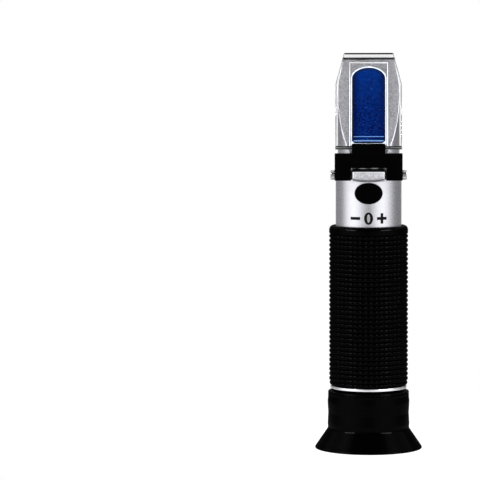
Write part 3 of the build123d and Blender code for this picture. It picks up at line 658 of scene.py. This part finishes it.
# Painted light: the blue is mixed a little lighter toward the top.
top_light_span = {"Value": axes.outputs["Z"], "From Min": TOP_LIGHT_LOW * MM, "From Max": TOP_LIGHT_HIGH * MM}
top_light_span["To Max"] = TOP_LIGHT_SHARE
top_light = add_node(tree, "ShaderNodeMapRange", top_light_span).outputs["Result"]
top_light_inputs = {0: top_light, 6: blue, 7: colour("#002A70")}
blue = add_node(tree, "ShaderNodeMix", top_light_inputs, data_type="RGBA").outputs[2]
# Painted shade: the blue is mixed darker toward the sides.
aside = add_node(tree, "ShaderNodeMath", {0: axes.outputs["X"]}, operation="ABSOLUTE").outputs[0]
side_shade_span = {"Value": aside, "From Min": SIDE_SHADE_START * MM, "From Max": PRISM_HALF * MM}
side = add_node(tree, "ShaderNodeMapRange", side_shade_span).outputs["Result"]
side_shade_inputs = {0: side, 6: blue, 7: colour("#000932")}
blue = add_node(tree, "ShaderNodeMix", side_shade_inputs, data_type="RGBA").outputs[2]
rough_span = {"Value": specks, **NOISE_SPAN, "To Min": 0.12, "To Max": 0.26}
rough = add_node(tree, "ShaderNodeMapRange", rough_span).outputs["Result"]
glass_inputs = {"Base Color": blue, "Roughness": rough, "IOR": 1.52, "Specular IOR Level": 0.05}
glass = add_node(tree, "ShaderNodeBsdfPrincipled", glass_inputs)
add_node(tree, "ShaderNodeOutputMaterial", {"Surface": glass.outputs["BSDF"]})

# The same glass where it is ground and blackened: blue-black and dull.
ground_glass = grained(
    "blackened_ground_glass", "#000014", "#000424", 0.3, (0.4, 0.6), 0.005, Specular_IOR_Level=0.1
)

# Painted highlights: two pale blue lines across the prism's lower end, where its bevels catch the light.
highlight_line_glass = grained("painted_highlight_cobalt_glass", "#3A68A0", "#6490C2", 0.5, (0.3, 0.4), 0.0)

finish_piece(prism_wedge(0), "prism_glass", "housing_body", ground_glass, "prism")
polished_face = slab(prism_outline(-PRISM_EDGE), -FACE_DEPTH, SKIN, ON_SLOPE)
finish_piece(polished_face, "prism_polished_face", "housing_body", cobalt)
for i, (low, width) in enumerate(HIGHLIGHT_LINES):
    line = slab(rectangle(PRISM_HALF - PRISM_EDGE, low, low + width), -FACE_DEPTH, 2 * SKIN, ON_SLOPE)
    finish_piece(line, f"prism_highlight_line_{i + 1}", "housing_body", highlight_line_glass)

# Optical cement round the prism: a pale translucent line, slightly blue.
cement = grained("pale_optical_cement", "#C0D0DF", "#DBE7F1", 0.8, (0.25, 0.4), 0.0)
seam = machined(
    slab(prism_outline(SEAM_WIDTH - SKIN), -SEAM_DEPTH, SKIN, ON_SLOPE),
    ("DIFFERENCE", slab(prism_outline(GLUE_GAP), -2 * SEAM_DEPTH, OVERRUN, ON_SLOPE)),
)
finish_piece(seam, "prism_seam", "housing_body", cement, "prism_seal")

# Painted highlights: small pale triangles in the cement's colour at the prism's two lower corners stand
# for the glints there.
for side, name in ((-1, "left"), (1, "right")):
    glint_outline = [
        (side * PRISM_HALF, PRISM_START),
        (side * (PRISM_HALF - CORNER_GLINT), PRISM_START),
        (side * PRISM_HALF, PRISM_START + CORNER_GLINT),
    ]
    glint_patch = slab(glint_outline, -FACE_DEPTH, 3 * SKIN, ON_SLOPE)
    finish_piece(glint_patch, f"prism_corner_glint_{name}", "housing_body", cement)

# Calibration plug. A soft oval button of black rubber, moulded with a round
# edge and a low dome, pressed in the housing over the calibration screw.
PLUG_FRONT = BARREL_R + 0.55
PLUG_DOME = 0.28
PLUG_EDGE = 0.7
PLUG_BACK = POCKET_FLOOR + 0.1
DOME_SHARE = 0.89
DOME_STEPS = (0.7, 0.45, 0.2)

shoulder = PLUG_FRONT - PLUG_DOME - PLUG_EDGE
levels = [(1.0, PLUG_BACK), (1.0, shoulder)]
for turn in evenly(0, pi / 2, steps=6)[1:]:
    levels.append((1 - (1 - DOME_SHARE) * (1 - cos(turn)), shoulder + PLUG_EDGE * sin(turn)))
for share in DOME_STEPS:
    levels.append((share, PLUG_FRONT - PLUG_DOME * (share / DOME_SHARE) ** 2))
plug = bmesh.new()
rings = []
for share, depth in levels:
    ring = oval(PLUG_HALF_X * share, PLUG_HALF_Z * share, 0, PLUG_Z)
    rings.append([plug.verts.new((x, -depth, z)) for x, z in ring])
for here, there in zip(rings, rings[1:]):
    for i in range(len(here)):
        j = (i + 1) % len(here)
        plug.faces.new((here[i], here[j], there[j], there[i]))
plug.faces.new(rings[0][::-1])
plug.faces.new(rings[-1])
bmesh.ops.recalc_face_normals(plug, faces=plug.faces)
finish_piece(
    plug, "calibration_plug_button", "plug_body", rubber, "calibration_plug", sharp=60
)

# Hinge bracket. One black moulding that holds the plate's tongue: an ear on
# each side of the boss, a bar between them and a tab over the plate's foot.
BRACKET_HALF = 13.3
BRACKET_FRONT = 16.9
BRACKET_LOW = PIN_Z - 2.2
BRACKET_HIGH = PIN_Z + 8.3
BRACKET_EDGE = 0.22
EAR_ROUND = 2.2
SLOPE_GAP = 0.15
NOTCH_HALF = BOSS_HALF + 0.6
NOTCH_HIGH = PIN_Z + 2.8
NOTCH_BACK = 5
NOTCH_FRONT = 20
PLATE_START = 7.9
PLATE_LIFT = 0.3
PLATE_FACE = PLATE_LIFT + 3.1
TONGUE_HALF = 6.0
TONGUE_LENGTH = 6.4
TAB_HALF = 6.6
TAB_HEIGHT = 1.35
TAB_OVERLAP = 0.9

# Acetal: a dense black with a low sheen and a fine spark-eroded skin.
acetal = grained(
    "black_moulded_acetal",
    "#000000",
    "#030303",
    0.3,
    (0.4, 0.5),
    0.006,
    Specular_IOR_Level=0.0,
    Coat_Weight=0.03,
    Coat_Roughness=0.3,
)


def off_slope_y(height):
    """The y of a face just off the slope, at this height."""
    return (height - FOOT_HEIGHT) * tan(SLOPE_ANGLE) - NOSE_R - SLOPE_GAP / cos(SLOPE_ANGLE)


ear_back = PIN_Y + EAR_ROUND
ear_top = FOOT_HEIGHT + (ear_back - off_slope_y(FOOT_HEIGHT)) / tan(SLOPE_ANGLE)
bracket_side = [
    (-BRACKET_FRONT, BRACKET_HIGH, 1.0),
    (-BRACKET_FRONT, BRACKET_LOW, 0.5),
    (ear_back, BRACKET_LOW, EAR_ROUND),
    (ear_back, ear_top, 0),
    (off_slope_y(BRACKET_HIGH), BRACKET_HIGH, 0.2),
]
tongue_low = PLATE_START - TONGUE_LENGTH
tab_high = PLATE_START + TAB_OVERLAP
tab_corners = [
    (-TAB_HALF, tongue_low + TAB_OVERLAP, 0),
    (TAB_HALF, tongue_low + TAB_OVERLAP, 0),
    (TAB_HALF, tab_high, 0.5),
    (-TAB_HALF, tab_high, 0.5),
]
tab_low = PLATE_FACE + GLUE_GAP
tongue_room = rectangle(TONGUE_HALF + GLUE_GAP, tongue_low - GLUE_GAP, 2 * PLATE_START)
notch = rectangle(NOTCH_HALF, BRACKET_LOW - OVERRUN, NOTCH_HIGH)
bracket = machined(
    slab(rounded(bracket_side, 6), -BRACKET_HALF, BRACKET_HALF, FROM_SIDE),
    ("UNION", slab(rounded(tab_corners), tab_low, tab_low + TAB_HEIGHT, ON_SLOPE)),
    ("DIFFERENCE", slab(tongue_room, -2 * OVERRUN, tab_low, ON_SLOPE)),
    ("DIFFERENCE", slab(notch, NOTCH_BACK, NOTCH_FRONT, FROM_FRONT)),
)
soften(bracket, BRACKET_EDGE, 35)
finish_piece(
    bracket, "hinge_bracket_moulding", "plate_body", acetal, "hinge_bracket"
)

# Daylight plate. A flap of clear cast acrylic, sawn to a taper and polished,
# with a raised pad that spreads the drop over the prism. Its tongue is held in
# the bracket by two steel screws.
PLATE_HALF = 13.1
PLATE_END = SLOPE_LENGTH + 1.1
PLATE_TAPER = 13.2
PLATE_TIP_HALF = 9.8
PLATE_BEVEL = 0.35
PLATE_EDGE = 0.06
WEAR_SIZE = 1.6
PAD_GAP = 0.1
PAD_HALF = 7.65
PAD_LOW = PRISM_START - 1.5
PAD_HIGH = PLATE_END - 3.4
PAD_EDGE = 0.32
SHADE_LINE_WIDTH = 0.45
SHADE_LINE_TOP = 0.8
SHADE_LINE_RISE = 1.5

# Cast acrylic: colourless, with hairline wear on its faces. Light that falls
# through it is let past, so that the metal behind has no false shadow.
acrylic, tree = empty_material("clear_cast_acrylic")
place = add_node(tree, "ShaderNodeTexCoord", {})
wear_inputs = {"Vector": place.outputs["Object"], "Scale": 1 / (WEAR_SIZE * MM), "Detail": 6.0}
wear = add_node(tree, "ShaderNodeTexNoise", wear_inputs).outputs["Fac"]
rough_span = {"Value": wear, "From Min": 0.4, "From Max": 0.8, "To Max": 0.05}
rough = add_node(tree, "ShaderNodeMapRange", rough_span).outputs["Result"]
tone_inputs = {0: wear, 6: colour("#F3F3F4"), 7: colour("#FBFBFC")}
tone = add_node(tree, "ShaderNodeMix", tone_inputs, data_type="RGBA").outputs[2]
clear_inputs = {"Base Color": tone, "Roughness": rough, "IOR": 1.49, "Transmission Weight": 1.0}
clear = add_node(tree, "ShaderNodeBsdfPrincipled", clear_inputs)
past = add_node(tree, "ShaderNodeBsdfTransparent", {"Color": colour("#F4F4F5")})
path = add_node(tree, "ShaderNodeLightPath", {})
shadow_ray = path.outputs["Is Shadow Ray"]
either_inputs = {0: shadow_ray, 1: clear.outputs["BSDF"], 2: past.outputs["BSDF"]}
either = add_node(tree, "ShaderNodeMixShader", either_inputs)
add_node(tree, "ShaderNodeOutputMaterial", {"Surface": either.outputs["Shader"]})

# Painted shade: the arrises at both ends of the plate are given a thin dark line of shade.
shade_line_acrylic = grained(
    "painted_shade_acrylic_line", "#080805", "#1A1B14", 0.3, (0.4, 0.55), 0.01, Specular_IOR_Level=0.05
)

# Painted highlight: a dull white in a narrow band round the raised pad and on the plate's lower end,
# standing in for the light their edges catch.
highlight_acrylic = grained("painted_highlight_acrylic_band", "#E8E9E9", "#FFFFFF", 0.4, (0.5, 0.7), 0.01)

right_side = [
    (PLATE_HALF, PLATE_START),
    (PLATE_HALF, PLATE_END - PLATE_TAPER),
    (PLATE_TIP_HALF, PLATE_END),
]
left_side = [(-x, up) for x, up in right_side[::-1]]
plate = slab(right_side + left_side, PLATE_LIFT, PLATE_FACE, Matrix())
face_edges = [e for e in plate.edges if min(v.co.z for v in e.verts) > PLATE_FACE - SKIN]
bevel(plate, face_edges, PLATE_BEVEL)
soften(plate, PLATE_EDGE, 30, steps=1)
plate.transform(ON_SLOPE)
tongue = slab(
    rectangle(TONGUE_HALF, tongue_low, tab_high), PLATE_LIFT + SKIN, PLATE_FACE - SKIN, ON_SLOPE
)
pad = slab(rectangle(PAD_HALF, PAD_LOW, PAD_HIGH), PAD_GAP, PLATE_LIFT + PAD_GAP, ON_SLOPE)
plate = machined(plate, ("UNION", tongue), ("UNION", pad))
score(plate, SLOPE_NORMAL, (0, PLATE_START + SHADE_LINE_WIDTH, 0), UP_SLOPE)
score(plate, -UP_SLOPE, (0, 0, PLATE_LIFT + SHADE_LINE_RISE), SLOPE_NORMAL)
score(plate, SLOPE_NORMAL, (0, PLATE_END - SHADE_LINE_TOP, 0), UP_SLOPE)
score(plate, -SLOPE_NORMAL, (0, PAD_HIGH - PAD_EDGE, 0), UP_SLOPE)
for side in (-1, 1):
    score(plate, -SLOPE_NORMAL, (side * (PAD_HALF - PAD_EDGE), 0, 0), Vector((1, 0, 0)))
plate = finish_piece(
    plate, "daylight_flap", "plate_body", acrylic, "daylight_plate", sharp=20
)

# Painted light on the single faces: a thin line of painted shade at both ends, and a band of painted
# highlight on the lower end and in a frame round the pad.
SHADE_LINE, HIGHLIGHT_BAND = 1, 2
LOOKS_BACK = -cos(radians(15))
for finish in (shade_line_acrylic, highlight_acrylic):
    plate.data.materials.append(finish)
for face in plate.data.polygons:
    x, up, level = from_slope @ (face.center / MM)
    end_band = up < PLATE_START + SHADE_LINE_WIDTH and abs(x) > TONGUE_HALF
    lower_end = end_band and face.normal.dot(UP_SLOPE) < LOOKS_BACK
    by_pad_rim = abs(x) > PAD_HALF - PAD_EDGE or up > PAD_HIGH - PAD_EDGE
    pad_rim = level < PLATE_LIFT - SKIN and by_pad_rim
    # The pad's rim and the upper part of the lower end get the painted highlight band.
    if pad_rim or (lower_end and level > PLATE_LIFT + SHADE_LINE_RISE):
        face.material_index = HIGHLIGHT_BAND
    # The rest of both ends is given the painted shade line.
    elif end_band or (up > PLATE_END - SHADE_LINE_TOP and level > PLATE_FACE - PLATE_BEVEL):
        face.material_index = SHADE_LINE
dress(steel, "plate_screws")

# Hinge pin. A steel pin, turned with a head at one end and closed with a
# pressed cap at the other. Nylon washers keep the ears off the boss.
PIN_HALF = 13.35
HEAD_R = 1.95
HEAD_LENGTH = 1.6
HEAD_BEVEL = 0.35
SOCKET_DEPTH = 0.8
ALONG_PIN = Matrix.Translation((0, PIN_Y, PIN_Z)) @ FROM_SIDE

pin_profile = [
    (0, -PIN_HALF - HEAD_LENGTH, 0),
    (HEAD_R, -PIN_HALF - HEAD_LENGTH, HEAD_BEVEL),
    (HEAD_R, -PIN_HALF, 0.1),
    (PIN_R, -PIN_HALF, 0),
    (PIN_R, PIN_HALF + SOCKET_DEPTH, 0.1),
    (0, PIN_HALF + SOCKET_DEPTH, 0),
]
cap_profile = [
    (PIN_R + SKIN, PIN_HALF, 0),
    (HEAD_R, PIN_HALF, 0.1),
    (HEAD_R, PIN_HALF + HEAD_LENGTH, HEAD_BEVEL),
    (0, PIN_HALF + HEAD_LENGTH, 0),
    (0, PIN_HALF + SOCKET_DEPTH + SKIN, 0),
    (PIN_R + SKIN, PIN_HALF + SOCKET_DEPTH + SKIN, 0),
]
for profile, node in ((pin_profile, "hinge_pin"), (cap_profile, "hinge_pin_cap")):
    pin = turned(rounded(profile), 64)
    pin.transform(ALONG_PIN)
    finish_piece(pin, f"{node}_turned", "housing_body", steel, node)

# Black nylon: dull, and a shade greyer than the acetal of the ears.
nylon = grained("black_nylon", "#08080A", "#121214", 0.4, (0.45, 0.6), 0.004, Specular_IOR_Level=0.1)
dress(nylon, "hinge_washers")

# Rubber grip. A moulded sleeve stretched over the tube, with round ribs that
# shallow upright flutes cut into blocks, and a smooth collar at its top whose
# lip stands a little over the foot of the barrel.
GRIP_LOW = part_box("rubber_grip")[0].z / MM
GRIP_R = 15.7
GRIP_BORE_R = 13.6
GRIP_GROOVE = 0.65
GRIP_COLLAR = 2.85
COLLAR_ROUND = 1.4
COLLAR_FOOT = 0.5
COLLAR_LIP = 0.45
RIBS = 33
RIB_POWER = 2.4
FLUTES = 40
FLUTE_DEPTH = 0.3
FLUTE_HALF = 0.2
END_TAPER = 0.4

# Where the mesh has its points across a rib, and across a flute.
RIB_STEPS = (-1.0, -0.78, -0.5, -0.2, 0.2, 0.5, 0.78)
FLUTE_STEPS = (-0.5, -0.32, -0.2, -0.1, 0.0, 0.1, 0.2, 0.32)


def fluted(rows, flutes, half_width, steps):
    """Turned mesh of (radius, height, flute depth) rows, cut by upright flutes."""
    mesh = bmesh.new()
    sections = []
    for flute in range(flutes):
        for step in steps:
            angle = 2 * pi * (flute + 0.5 + step) / flutes
            bite = max(0, 1 - abs(step) / half_width)
            radii = [(radius - depth * bite, height) for radius, height, depth in rows]
            sections.append([mesh.verts.new((r * cos(angle), r * sin(angle), z)) for r, z in radii])
    for i, here in enumerate(sections):
        there = sections[(i + 1) % len(sections)]
        for j in range(len(rows)):
            k = (j + 1) % len(rows)
            mesh.faces.new((here[j], there[j], there[k], here[k]))
    bmesh.ops.recalc_face_normals(mesh, faces=mesh.faces)
    return mesh


collar_low = TUBE_END - GRIP_COLLAR
rib_pitch = (collar_low - GRIP_LOW) / RIBS
rows = [(GRIP_BORE_R, GRIP_LOW, 0)]
for rib in range(RIBS):
    for step in RIB_STEPS:
        crest = 1 - abs(step) ** RIB_POWER
        taper = END_TAPER * (1 - step) / 2 if rib == 0 else 0
        height = GRIP_LOW + (rib + 0.5 + step / 2) * rib_pitch
        rows.append((GRIP_R - taper - GRIP_GROOVE * (1 - crest), height, FLUTE_DEPTH * crest))
for turn in evenly(0, pi / 2, steps=4):
    height = collar_low + COLLAR_FOOT * (1 - cos(turn))
    rows.append((GRIP_R - GRIP_GROOVE * (1 - sin(turn)), height, 0))
for turn in evenly(0, pi / 2, steps=8):
    height = TUBE_END + COLLAR_LIP - (COLLAR_ROUND + COLLAR_LIP) * (1 - sin(turn))
    rows.append((GRIP_R - COLLAR_ROUND * (1 - cos(turn)), height, 0))
rows.append((GRIP_BORE_R, TUBE_END + COLLAR_LIP, 0))
grip = fluted(rows, FLUTES, FLUTE_HALF, FLUTE_STEPS)
finish_piece(grip, "ribbed_grip", "housing_body", rubber, "rubber_grip", sharp=50)

# Tube end ring. A turned ring pressed on the tube's mouth, nickel-plated, that
# shows as a bright line between the grip and the eyecup.
ring_low, ring_high = (corner.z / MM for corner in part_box("tube_end_ring"))
RING_R = 15.2
RING_BORE_R = 12.82

# Bright nickel: whiter and smoother than the housing's satin plating.
bright_nickel = grained(
    "bright_nickel_plate", "#E0E0E4", "#EDEDF0", 0.3, (0.26, 0.36), 0.003, TOOL_RINGS, Metallic=1.0
)
ring_profile = [
    (RING_BORE_R, ring_low, 0.1),
    (RING_R, ring_low, 0.35),
    (RING_R, ring_high, 0.3),
    (RING_BORE_R, ring_high, 0.1),
]
ring = turned(rounded(ring_profile, 6))
finish_piece(
    ring, "tube_end_ring_bright", "housing_body", bright_nickel, "tube_end_ring", sharp=60
)

# Focus barrel and eyepiece. A black anodised barrel screws in the tube's foot
# and carries the lens cell, with two lenses, a spacer, a ring and a clip.
dress(anodised, "focus_barrel", "lens_cell", "eye_lens_ring", "lens_spacer")
dress(coated_glass, "field_lens", "eye_lens")
dress(rubber, "focus_o_ring")
dress(steel, "cell_clip")

# Eyecup. Moulded black rubber, stretched over the head of the focus barrel,
# with a finely ribbed lip to turn it by and a flared rim that shades the eye.
RIM_R = 21.3
RIM_WIDTH = 2.0
RIM_HEIGHT = 0.5
CUP_BORE_R = 14.0
EYE_HOLE_R = 9.0
SHELF_LOW = 7.9
SHELF_HIGH = 9.6
NECK_R = 16.15
NECK_Z = 8.1
BAND_R = 16.3
BAND_LOW = 9.9
BAND_HIGH = 18.7
WAIST_R = 16.08
WAIST_Z = (BAND_LOW + BAND_HIGH) / 2
LIP_R = 16.12
LIP_LOW = 20.85
LIP_HIGH = 21.75
LIP_RIBS = 84
LIP_RIB_DEPTH = 0.14
LIP_FLUTE_HALF = 0.5
LIP_EDGE = 0.15
GROOVE_DEPTH = 0.27
GROOVE_Z = 22.05
BEAD_LOW = 22.2
BEAD_HIGH = 22.8
CUP_TOP = 23.6
MOUTH_R = 12.5
LIP_STEPS = (-0.5, -0.3, -0.12, 0.12, 0.3)


def moulded(corners):
    """Rows for a fluted mesh, from (radius, height, rounding, flute depth) corners."""
    rows = []
    for i, (radius, height, rounding, depth) in enumerate(corners):
        before = corners[i - 1][:2] + (0,)
        after = corners[(i + 1) % len(corners)][:2] + (0,)
        curve = rounded([before, (radius, height, rounding), after])[1:-1]
        rows.extend((point.x, point.y, depth) for point in curve)
    return rows


cup_profile = [
    (CUP_BORE_R, SHELF_HIGH, 0, 0),
    (EYE_HOLE_R, SHELF_HIGH, 0.4, 0),
    (EYE_HOLE_R, SHELF_LOW, 0.4, 0),
    (CUP_BORE_R, SHELF_LOW, 1.0, 0),
    (RIM_R - RIM_WIDTH, 0.0, 0.35, 0),
    (RIM_R, 0.0, 0.25, 0),
    (RIM_R, RIM_HEIGHT, 0.25, 0),
    (NECK_R, NECK_Z, 1.6, 0),
    (BAND_R, BAND_LOW, 0.8, 0),
    (WAIST_R, WAIST_Z, 5.0, 0),
    (BAND_R, BAND_HIGH, 0.8, 0),
    (LIP_R, LIP_LOW - LIP_EDGE, 0.2, 0),
    (LIP_R, LIP_LOW, 0, LIP_RIB_DEPTH),
    (LIP_R, LIP_HIGH, 0, LIP_RIB_DEPTH),
    (LIP_R, LIP_HIGH + LIP_EDGE, 0.1, 0),
    (LIP_R - GROOVE_DEPTH, GROOVE_Z, 0.1, 0),
    (LIP_R, BEAD_LOW, 0.1, 0),
    (LIP_R, BEAD_HIGH, 0.5, 0),
    (CUP_BORE_R + 0.5, CUP_TOP, 0.4, 0),
    (MOUTH_R, CUP_TOP, 0.2, 0),
    (MOUTH_R, BEAD_HIGH, 0, 0),
    (CUP_BORE_R, BEAD_HIGH, 0, 0),
]
cup = fluted(moulded(cup_profile), LIP_RIBS, LIP_FLUTE_HALF, LIP_STEPS)
finish_piece(cup, "eyecup_moulding", "eyepiece_body", rubber, "eyecup", sharp=50)

# Table. A round sheet of white paper, lit like the object so that it holds its
# shadow, and let fade out before its edge.
TABLE_R = 170
FADE_START = 50
FADE_END = 160
GLOW_LEVEL = 0.62
paper, tree = empty_material("white_table_paper")
place = add_node(tree, "ShaderNodeTexCoord", {})
reach = add_node(tree, "ShaderNodeVectorMath", {0: place.outputs["Object"]}, operation="LENGTH")
fade_span = {"Value": reach.outputs["Value"], "From Min": FADE_START * MM, "From Max": FADE_END * MM}
fade = add_node(tree, "ShaderNodeMapRange", fade_span)
lit = add_node(tree, "ShaderNodeBsdfDiffuse", {"Color": colour("#D8D8D8")})
glow = add_node(tree, "ShaderNodeEmission", {"Color": colour("#FFFFFF"), "Strength": GLOW_LEVEL})
both = add_node(tree, "ShaderNodeAddShader", {0: lit.outputs["BSDF"], 1: glow.outputs["Emission"]})
gone = add_node(tree, "ShaderNodeBsdfTransparent", {})
sheet_inputs = {0: fade.outputs["Result"], 1: both.outputs["Shader"], 2: gone.outputs["BSDF"]}
sheet = add_node(tree, "ShaderNodeMixShader", sheet_inputs)
add_node(tree, "ShaderNodeOutputMaterial", {"Surface": sheet.outputs["Shader"]})
table = bmesh.new()
bmesh.ops.create_circle(table, cap_ends=True, segments=96, radius=TABLE_R * MM)
table = to_object(table, "table_paper")
table.data.materials.append(paper)

# Lamps. Four broad soft boxes give an even light from the front, the top and
# behind. The paper screens below stand in for them in the gloss.
MIDDLE = Vector((0, 0, 0.09))
LAMP_DISTANCE = 0.9


def face_middle(thing, azimuth, elevation, distance):
    """Stands a lamp or a card off the object and turns it to face the middle.

    Azimuth 0 is in front of the object and 90 to its right.
    """
    a, e = radians(azimuth), radians(elevation)
    outward = Vector((sin(a) * cos(e), -cos(a) * cos(e), sin(e)))
    thing.location = MIDDLE + outward * distance
    thing.rotation_euler = outward.to_track_quat("Z", "Y").to_euler()


def soft_box(name, azimuth, elevation, size, power):
    """Area lamp that lights the object but isn't seen."""
    data = bpy.data.lights.new(name, "AREA")
    data.shape = "RECTANGLE"
    data.size, data.size_y = size
    data.energy = power
    lamp = bpy.data.objects.new(name, data)
    lamp.visible_camera = False
    lamp.visible_glossy = False
    face_middle(lamp, azimuth, elevation, LAMP_DISTANCE)
    scene.collection.objects.link(lamp)


soft_box("left_box", -50, 22, (0.3, 0.9), 2.4)
soft_box("right_box", 48, 22, (0.3, 0.9), 2.1)
soft_box("top_box", 0, 72, (0.8, 0.5), 2.6)
soft_box("back_box", 180, 35, (0.9, 0.5), 2.2)

# Paper screens. A round screen of light and dark bands, and a dark card above
# it in front, stand where only the gloss and the glass see them.
SCREEN_R = 1.4
SCREEN_LOW = -0.9
SCREEN_HIGH = 0.55
SCREEN_GAP = 18
SCREEN_PEAK = 1.5

# Brightness of the screen round the object, as (azimuth, level).
SCREEN_BANDS = (
    (-162, 0.26), (-104, 0.33), (-88, 0.85), (-76, 1.25), (-57, SCREEN_PEAK), (-40, 1.35),
    (-27, 1.05), (-16, 0.72), (-5, 0.46), (6, 0.44), (17, 0.85), (28, 1.2), (40, 1.4),
    (52, 1.42), (64, 1.25), (76, 0.95), (90, 0.48), (106, 0.24), (162, 0.26),
)
banded, tree = empty_material("banded_screen_paper")
place = add_node(tree, "ShaderNodeTexCoord", {})
round_way = add_node(
    tree, "ShaderNodeTexGradient", {"Vector": place.outputs["Object"]}, gradient_type="RADIAL"
)
bands = add_node(tree, "ShaderNodeValToRGB", {"Fac": round_way.outputs["Fac"]})
stops = bands.color_ramp.elements
while len(stops) < len(SCREEN_BANDS):
    stops.new(1.0)
for stop, (azimuth, level) in zip(stops, SCREEN_BANDS):
    stop.position = 0.5 + azimuth / 360
    stop.color = [level / SCREEN_PEAK] * 3 + [1]
shine = add_node(tree, "ShaderNodeEmission", {"Color": bands.outputs["Color"], "Strength": SCREEN_PEAK})
add_node(tree, "ShaderNodeOutputMaterial", {"Surface": shine.outputs["Emission"]})


def stand_screen(mesh, name, material):
    """Object for a screen that only the gloss and the glass see."""
    screen = to_object(mesh, name)
    screen.data.materials.append(material)
    screen.visible_camera = False
    screen.visible_diffuse = False
    screen.visible_shadow = False
    return screen


round_screen = bmesh.new()
posts = []
for angle in evenly(SCREEN_GAP - 180, 180 - SCREEN_GAP, steps=96):
    foot = (SCREEN_R * cos(radians(angle)), SCREEN_R * sin(radians(angle)))
    posts.append([round_screen.verts.new((*foot, height)) for height in (SCREEN_LOW, SCREEN_HIGH)])
for here, there in zip(posts, posts[1:]):
    round_screen.faces.new((here[0], there[0], there[1], here[1]))
round_screen = stand_screen(round_screen, "banded_screen", banded)
round_screen.location = MIDDLE
round_screen.rotation_euler = (0, 0, radians(-90))

CARD_DISTANCE = 1.5
DARK_LEVEL = 0.015
GLINT_LEVEL = 65.0


def glowing_paper(name, level):
    """Paper that gives off an even white light."""
    material, tree = empty_material(name)
    glow = add_node(tree, "ShaderNodeEmission", {"Color": colour("#FFFFFF"), "Strength": level})
    add_node(tree, "ShaderNodeOutputMaterial", {"Surface": glow.outputs["Emission"]})
    return material


def stand_card(name, material, size, azimuth, elevation):
    """Flat card that stands off the object and faces its middle. A size is (width, height)."""
    card = bmesh.new()
    bmesh.ops.create_grid(card, x_segments=1, y_segments=1, size=0.5)
    bmesh.ops.scale(card, vec=(*size, 1), verts=card.verts)
    card = stand_screen(card, name, material)
    face_middle(card, azimuth, elevation, CARD_DISTANCE)
    return card


# The dark card, above the line of sight, keeps the slanted faces dark.
stand_card("dark_card", glowing_paper("dark_card_paper", DARK_LEVEL), (3.0, 1.15), 0, 42)

# Two bright strips of card, high on each side, leave the glints that pick out
# the edges of the black rubber. The glass doesn't see them.
bright_paper = glowing_paper("bright_card_paper", GLINT_LEVEL)
for name, azimuth in (("left_glint_card", -60), ("right_glint_card", 58)):
    card = stand_card(name, bright_paper, (0.77, 0.14), azimuth, 34)
    card.visible_transmission = False

# World: dim to what it lights, and white to the camera, the gloss and the
# glass, so that all three show the white background.
FILL_LEVEL = 0.4
world = bpy.data.worlds.new("studio")
world.use_nodes = True
tree = world.node_tree
tree.nodes.clear()
path = add_node(tree, "ShaderNodeLightPath", {})
seen = path.outputs["Is Camera Ray"]
for kind in ("Is Glossy Ray", "Is Transmission Ray"):
    either_inputs = {0: seen, 1: path.outputs[kind]}
    seen = add_node(tree, "ShaderNodeMath", either_inputs, operation="MAXIMUM").outputs[0]
fill = add_node(tree, "ShaderNodeBackground", {"Color": colour("#FFFFFF"), "Strength": FILL_LEVEL})
white = add_node(tree, "ShaderNodeBackground", {"Color": colour("#FFFFFF"), "Strength": 1.0})
backdrop_inputs = {0: seen, 1: fill.outputs["Background"], 2: white.outputs["Background"]}
backdrop = add_node(tree, "ShaderNodeMixShader", backdrop_inputs)
add_node(tree, "ShaderNodeOutputWorld", {"Surface": backdrop.outputs["Shader"]})
scene.world = world
scene.view_settings.view_transform = "Standard"

# Camera. It stands 1.16 m off, a little above the top of the plate, and looks
# to the left of the object, as in the photograph.
CAMERA_AT = Vector((0.0, -1.160, 0.1755))
CAMERA_AIM = Vector((-0.0512, 0.0, 0.0831))
CAMERA_ROLL = -0.17
FIELD_OF_VIEW = 9.39
camera_data = bpy.data.cameras.new("camera")
camera_data.angle = radians(FIELD_OF_VIEW)
camera_data.clip_start = 0.01
camera = bpy.data.objects.new("camera", camera_data)
camera.location = CAMERA_AT
aim = (CAMERA_AIM - CAMERA_AT).to_track_quat("-Z", "Y").to_matrix()
camera.rotation_euler = (aim @ Matrix.Rotation(radians(CAMERA_ROLL), 3, "Z")).to_euler()
scene.collection.objects.link(camera)
scene.camera = camera
